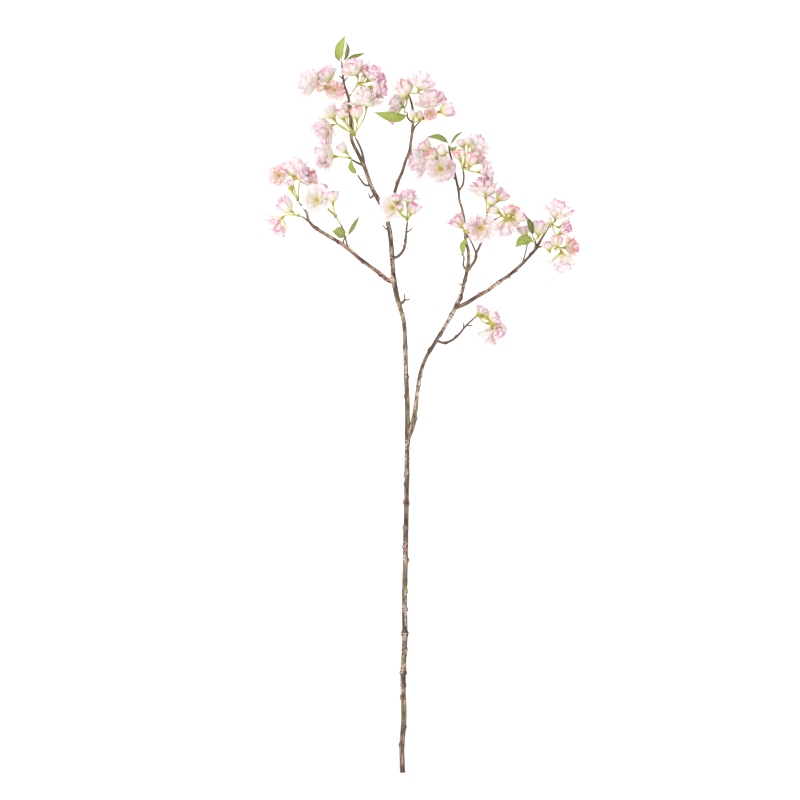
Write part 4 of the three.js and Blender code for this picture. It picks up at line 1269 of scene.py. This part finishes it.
def bark_material():
    nodes = Nodes("cherry_bark")
    relief, green, red, slim, grain = nodes.corner_values()
    patches = nodes.noise(nodes.scaled(grain, (0.12, 0.12, 0.05)), 1.0, 3.0, 0.6)
    fibres = nodes.noise(nodes.scaled(grain, (1.4, 1.4, 0.22)), 1.0, 4.0, 0.65)
    specks = nodes.noise(nodes.scaled(grain, (1.0, 1.0, 1.6)), 1.6, 3.0, 0.6)
    height = nodes.plus(nodes.less(fibres, 0.5), 0.55, relief)
    height = nodes.plus(nodes.less(specks, 0.5), 0.35, height)
    # The ramp paints shade into the bark's hollows and a highlight onto its ridges, together with the grain
    # of its fibres and specks.
    colour = nodes.ramp(height, BARK_BROWNS)
    colour = nodes.mix(nodes.times(patches, 0.7), colour, (140, 108, 98), "SOFT_LIGHT")
    colour = nodes.mix(nodes.times(slim, 0.55), colour, (88, 66, 54))
    colour = nodes.mix(nodes.times(red, 0.7), colour, (208, 128, 100), "SOFT_LIGHT")
    algae = nodes.times(green, nodes.plus(fibres, 1.5, -0.35, clamp=True), clamp=True)
    colour = nodes.mix(nodes.times(algae, 0.6), colour, (136, 130, 78))
    return nodes.finish(colour, nodes.plus(specks, -0.25, 0.9), (0.6, 0.0005, height))


def floor_material():
    nodes = Nodes("pale_floor")
    cloud = nodes.noise(nodes.add("TexCoord").outputs["Object"], 0.8, 2.0)
    colour = nodes.mix(cloud, (250, 250, 250), (253, 253, 253))
    glow = {"Emission Color": (255, 255, 255), "Emission Strength": FLOOR_GLOW}
    return nodes.finish(colour, 0.9, **glow)


# Building.

BARK = bark_material()
PETAL = petal_material()
STAMEN = stamen_material()
STALK = stalk_material()
LEAF = leaf_material()

for shoot_name, shoot in SHOOTS.items():
    wood = Growth()
    step, sides, roughness = BARK_STEP, BARK_SIDES, 1.0
    if shoot["points"][0][3] < SLIM_LIMB:
        step, sides, roughness = TWIG_STEP, SLIM_SIDES, 0.6
    red = REDNESS.get(shoot_name, 0.1)
    pale = PALENESS.get(shoot_name, 0.0)
    knobs = KNOBS[shoot_name]
    bark_rings(wood, shoot["points"], step, sides, roughness, knobs, red=red, pale=pale)
    for spur in shoot["spurs"]:
        bark_rings(wood, spur, SPUR_STEP, TWIG_SIDES, 0.4, ringed=0.08, red=red)
    wood.piece(f"bark_{shoot_name}", [BARK], "bark", [shoot_name])

# Small leaves at the umbels' roots, which the CAD model leaves out, as half-width, points, the way
# the upper side looks, and tone.
SMALL_LEAVES = {
    "right_crown_left": [
        (2.8, [[70, 941, 28], [74, 947, 34], [80, 955, 37], [92, 965, 34]], [-4, 3, 8], 0.75),
        (3.4, [[70, 940, 28], [72, 938, 33], [77, 937, 38], [82, 942, 40]], [2, -3, 9], 0.1),
    ],
    "upper_right_tip": [(3.8, [[7, 992, 29], [4, 992, 40], [1, 998, 57], [-6, 1009, 58]], [-6, 2, 8], 0.9)],
}

for umbel_name, umbel in UMBELS.items():
    rng = seeded("umbel", umbel_name)
    stalks = Growth()
    joined = Growth()
    hub = np.array(umbel["hub"], float)
    peduncle(stalks, umbel["root"], hub, rng)
    for index, (name, kind, width, *rest) in enumerate(umbel["blossoms"]):
        base = np.array(rest[:3], float)
        facing = unit(np.array(rest[3:6], float))
        draws = seeded(umbel_name, index)
        pedicel(stalks, hub, base, facing, kind, width, draws)
        traits = {"strap": draws.uniform(0.85, 1.15)}
        traits.update(*rest[7:])
        petals = Growth() if name else joined
        blossom(petals, kind, width, base, facing, draws, rest[6], **traits)
        if name:
            node = f"corolla_{umbel_name}_{name}"
            petals.piece(f"petals_{umbel_name}_{name}", [PETAL, STAMEN], "petal", [node])
    for order, (half, points, face, tone) in enumerate(SMALL_LEAVES.get(umbel_name, [])):
        leaf(stalks, half, points, face, seeded(umbel_name, "leaf", order), tone, finish=1)
    stalks.piece(f"pedicels_{umbel_name}", [STALK, LEAF], "stalk", [f"stalks_{umbel_name}"])
    if joined.count:
        joined.piece(f"petals_{umbel_name}_small", [PETAL, STAMEN], "petal", [f"stalks_{umbel_name}"])

for leaf_name, (half, points, face, tone) in LEAVES.items():
    blade = Growth()
    leaf(blade, half, points, face, seeded(f"leaf_{leaf_name}"), tone)
    blade.piece(f"blade_{leaf_name}", [LEAF], "leaf", [f"leaf_{leaf_name}"])

# Floor, light and camera.


def floor_sheet():
    """A wide flat floor at the frame's zero, under the sprig."""
    mesh = bpy.data.meshes.new("floor")
    edge = FLOOR_SIZE / 2
    corners = [(-edge, -edge, 0), (edge, -edge, 0), (edge, edge, 0), (-edge, edge, 0)]
    mesh.from_pydata(corners, [], [(0, 1, 2, 3)])
    mesh.materials.append(floor_material())
    floor = bpy.data.objects.new("floor", mesh)
    bpy.context.scene.collection.objects.link(floor)


def lamp(name, place, target, size, power):
    """A square soft box that looks at its target."""
    light = bpy.data.lights.new(name, "AREA")
    light.size = size
    light.energy = power
    box = bpy.data.objects.new(name, light)
    box.location = place
    way = Vector(target) - Vector(place)
    box.rotation_euler = way.to_track_quat("-Z", "Y").to_euler()
    bpy.context.scene.collection.objects.link(box)


floor_sheet()
centre = Vector(placed(VIEW_CENTRE).tolist())
lamp("key", centre + Vector(KEY_PLACE), centre, KEY_SIZE, KEY_POWER)
lamp("fill", centre + Vector(FILL_PLACE), centre, FILL_SIZE, FILL_POWER)

world = bpy.data.worlds.new("studio")
world.use_nodes = True
sky = world.node_tree.nodes["Background"]
sky.inputs["Color"].default_value = (1, 1, 1, 1)
sky.inputs["Strength"].default_value = SKY_STRENGTH
bpy.context.scene.world = world
bpy.context.scene.view_settings.view_transform = "Standard"
bpy.context.scene.view_settings.gamma = GAMMA

camera = bpy.data.cameras.new("camera")
camera.lens = LENS
camera.sensor_width = SENSOR
camera.clip_end = CAMERA_REACH
eye = bpy.data.objects.new("camera", camera)
eye.location = centre + Vector((0, 0, VIEW_WIDTH / 1000 * LENS / SENSOR))
bpy.context.scene.collection.objects.link(eye)
bpy.context.scene.camera = eye
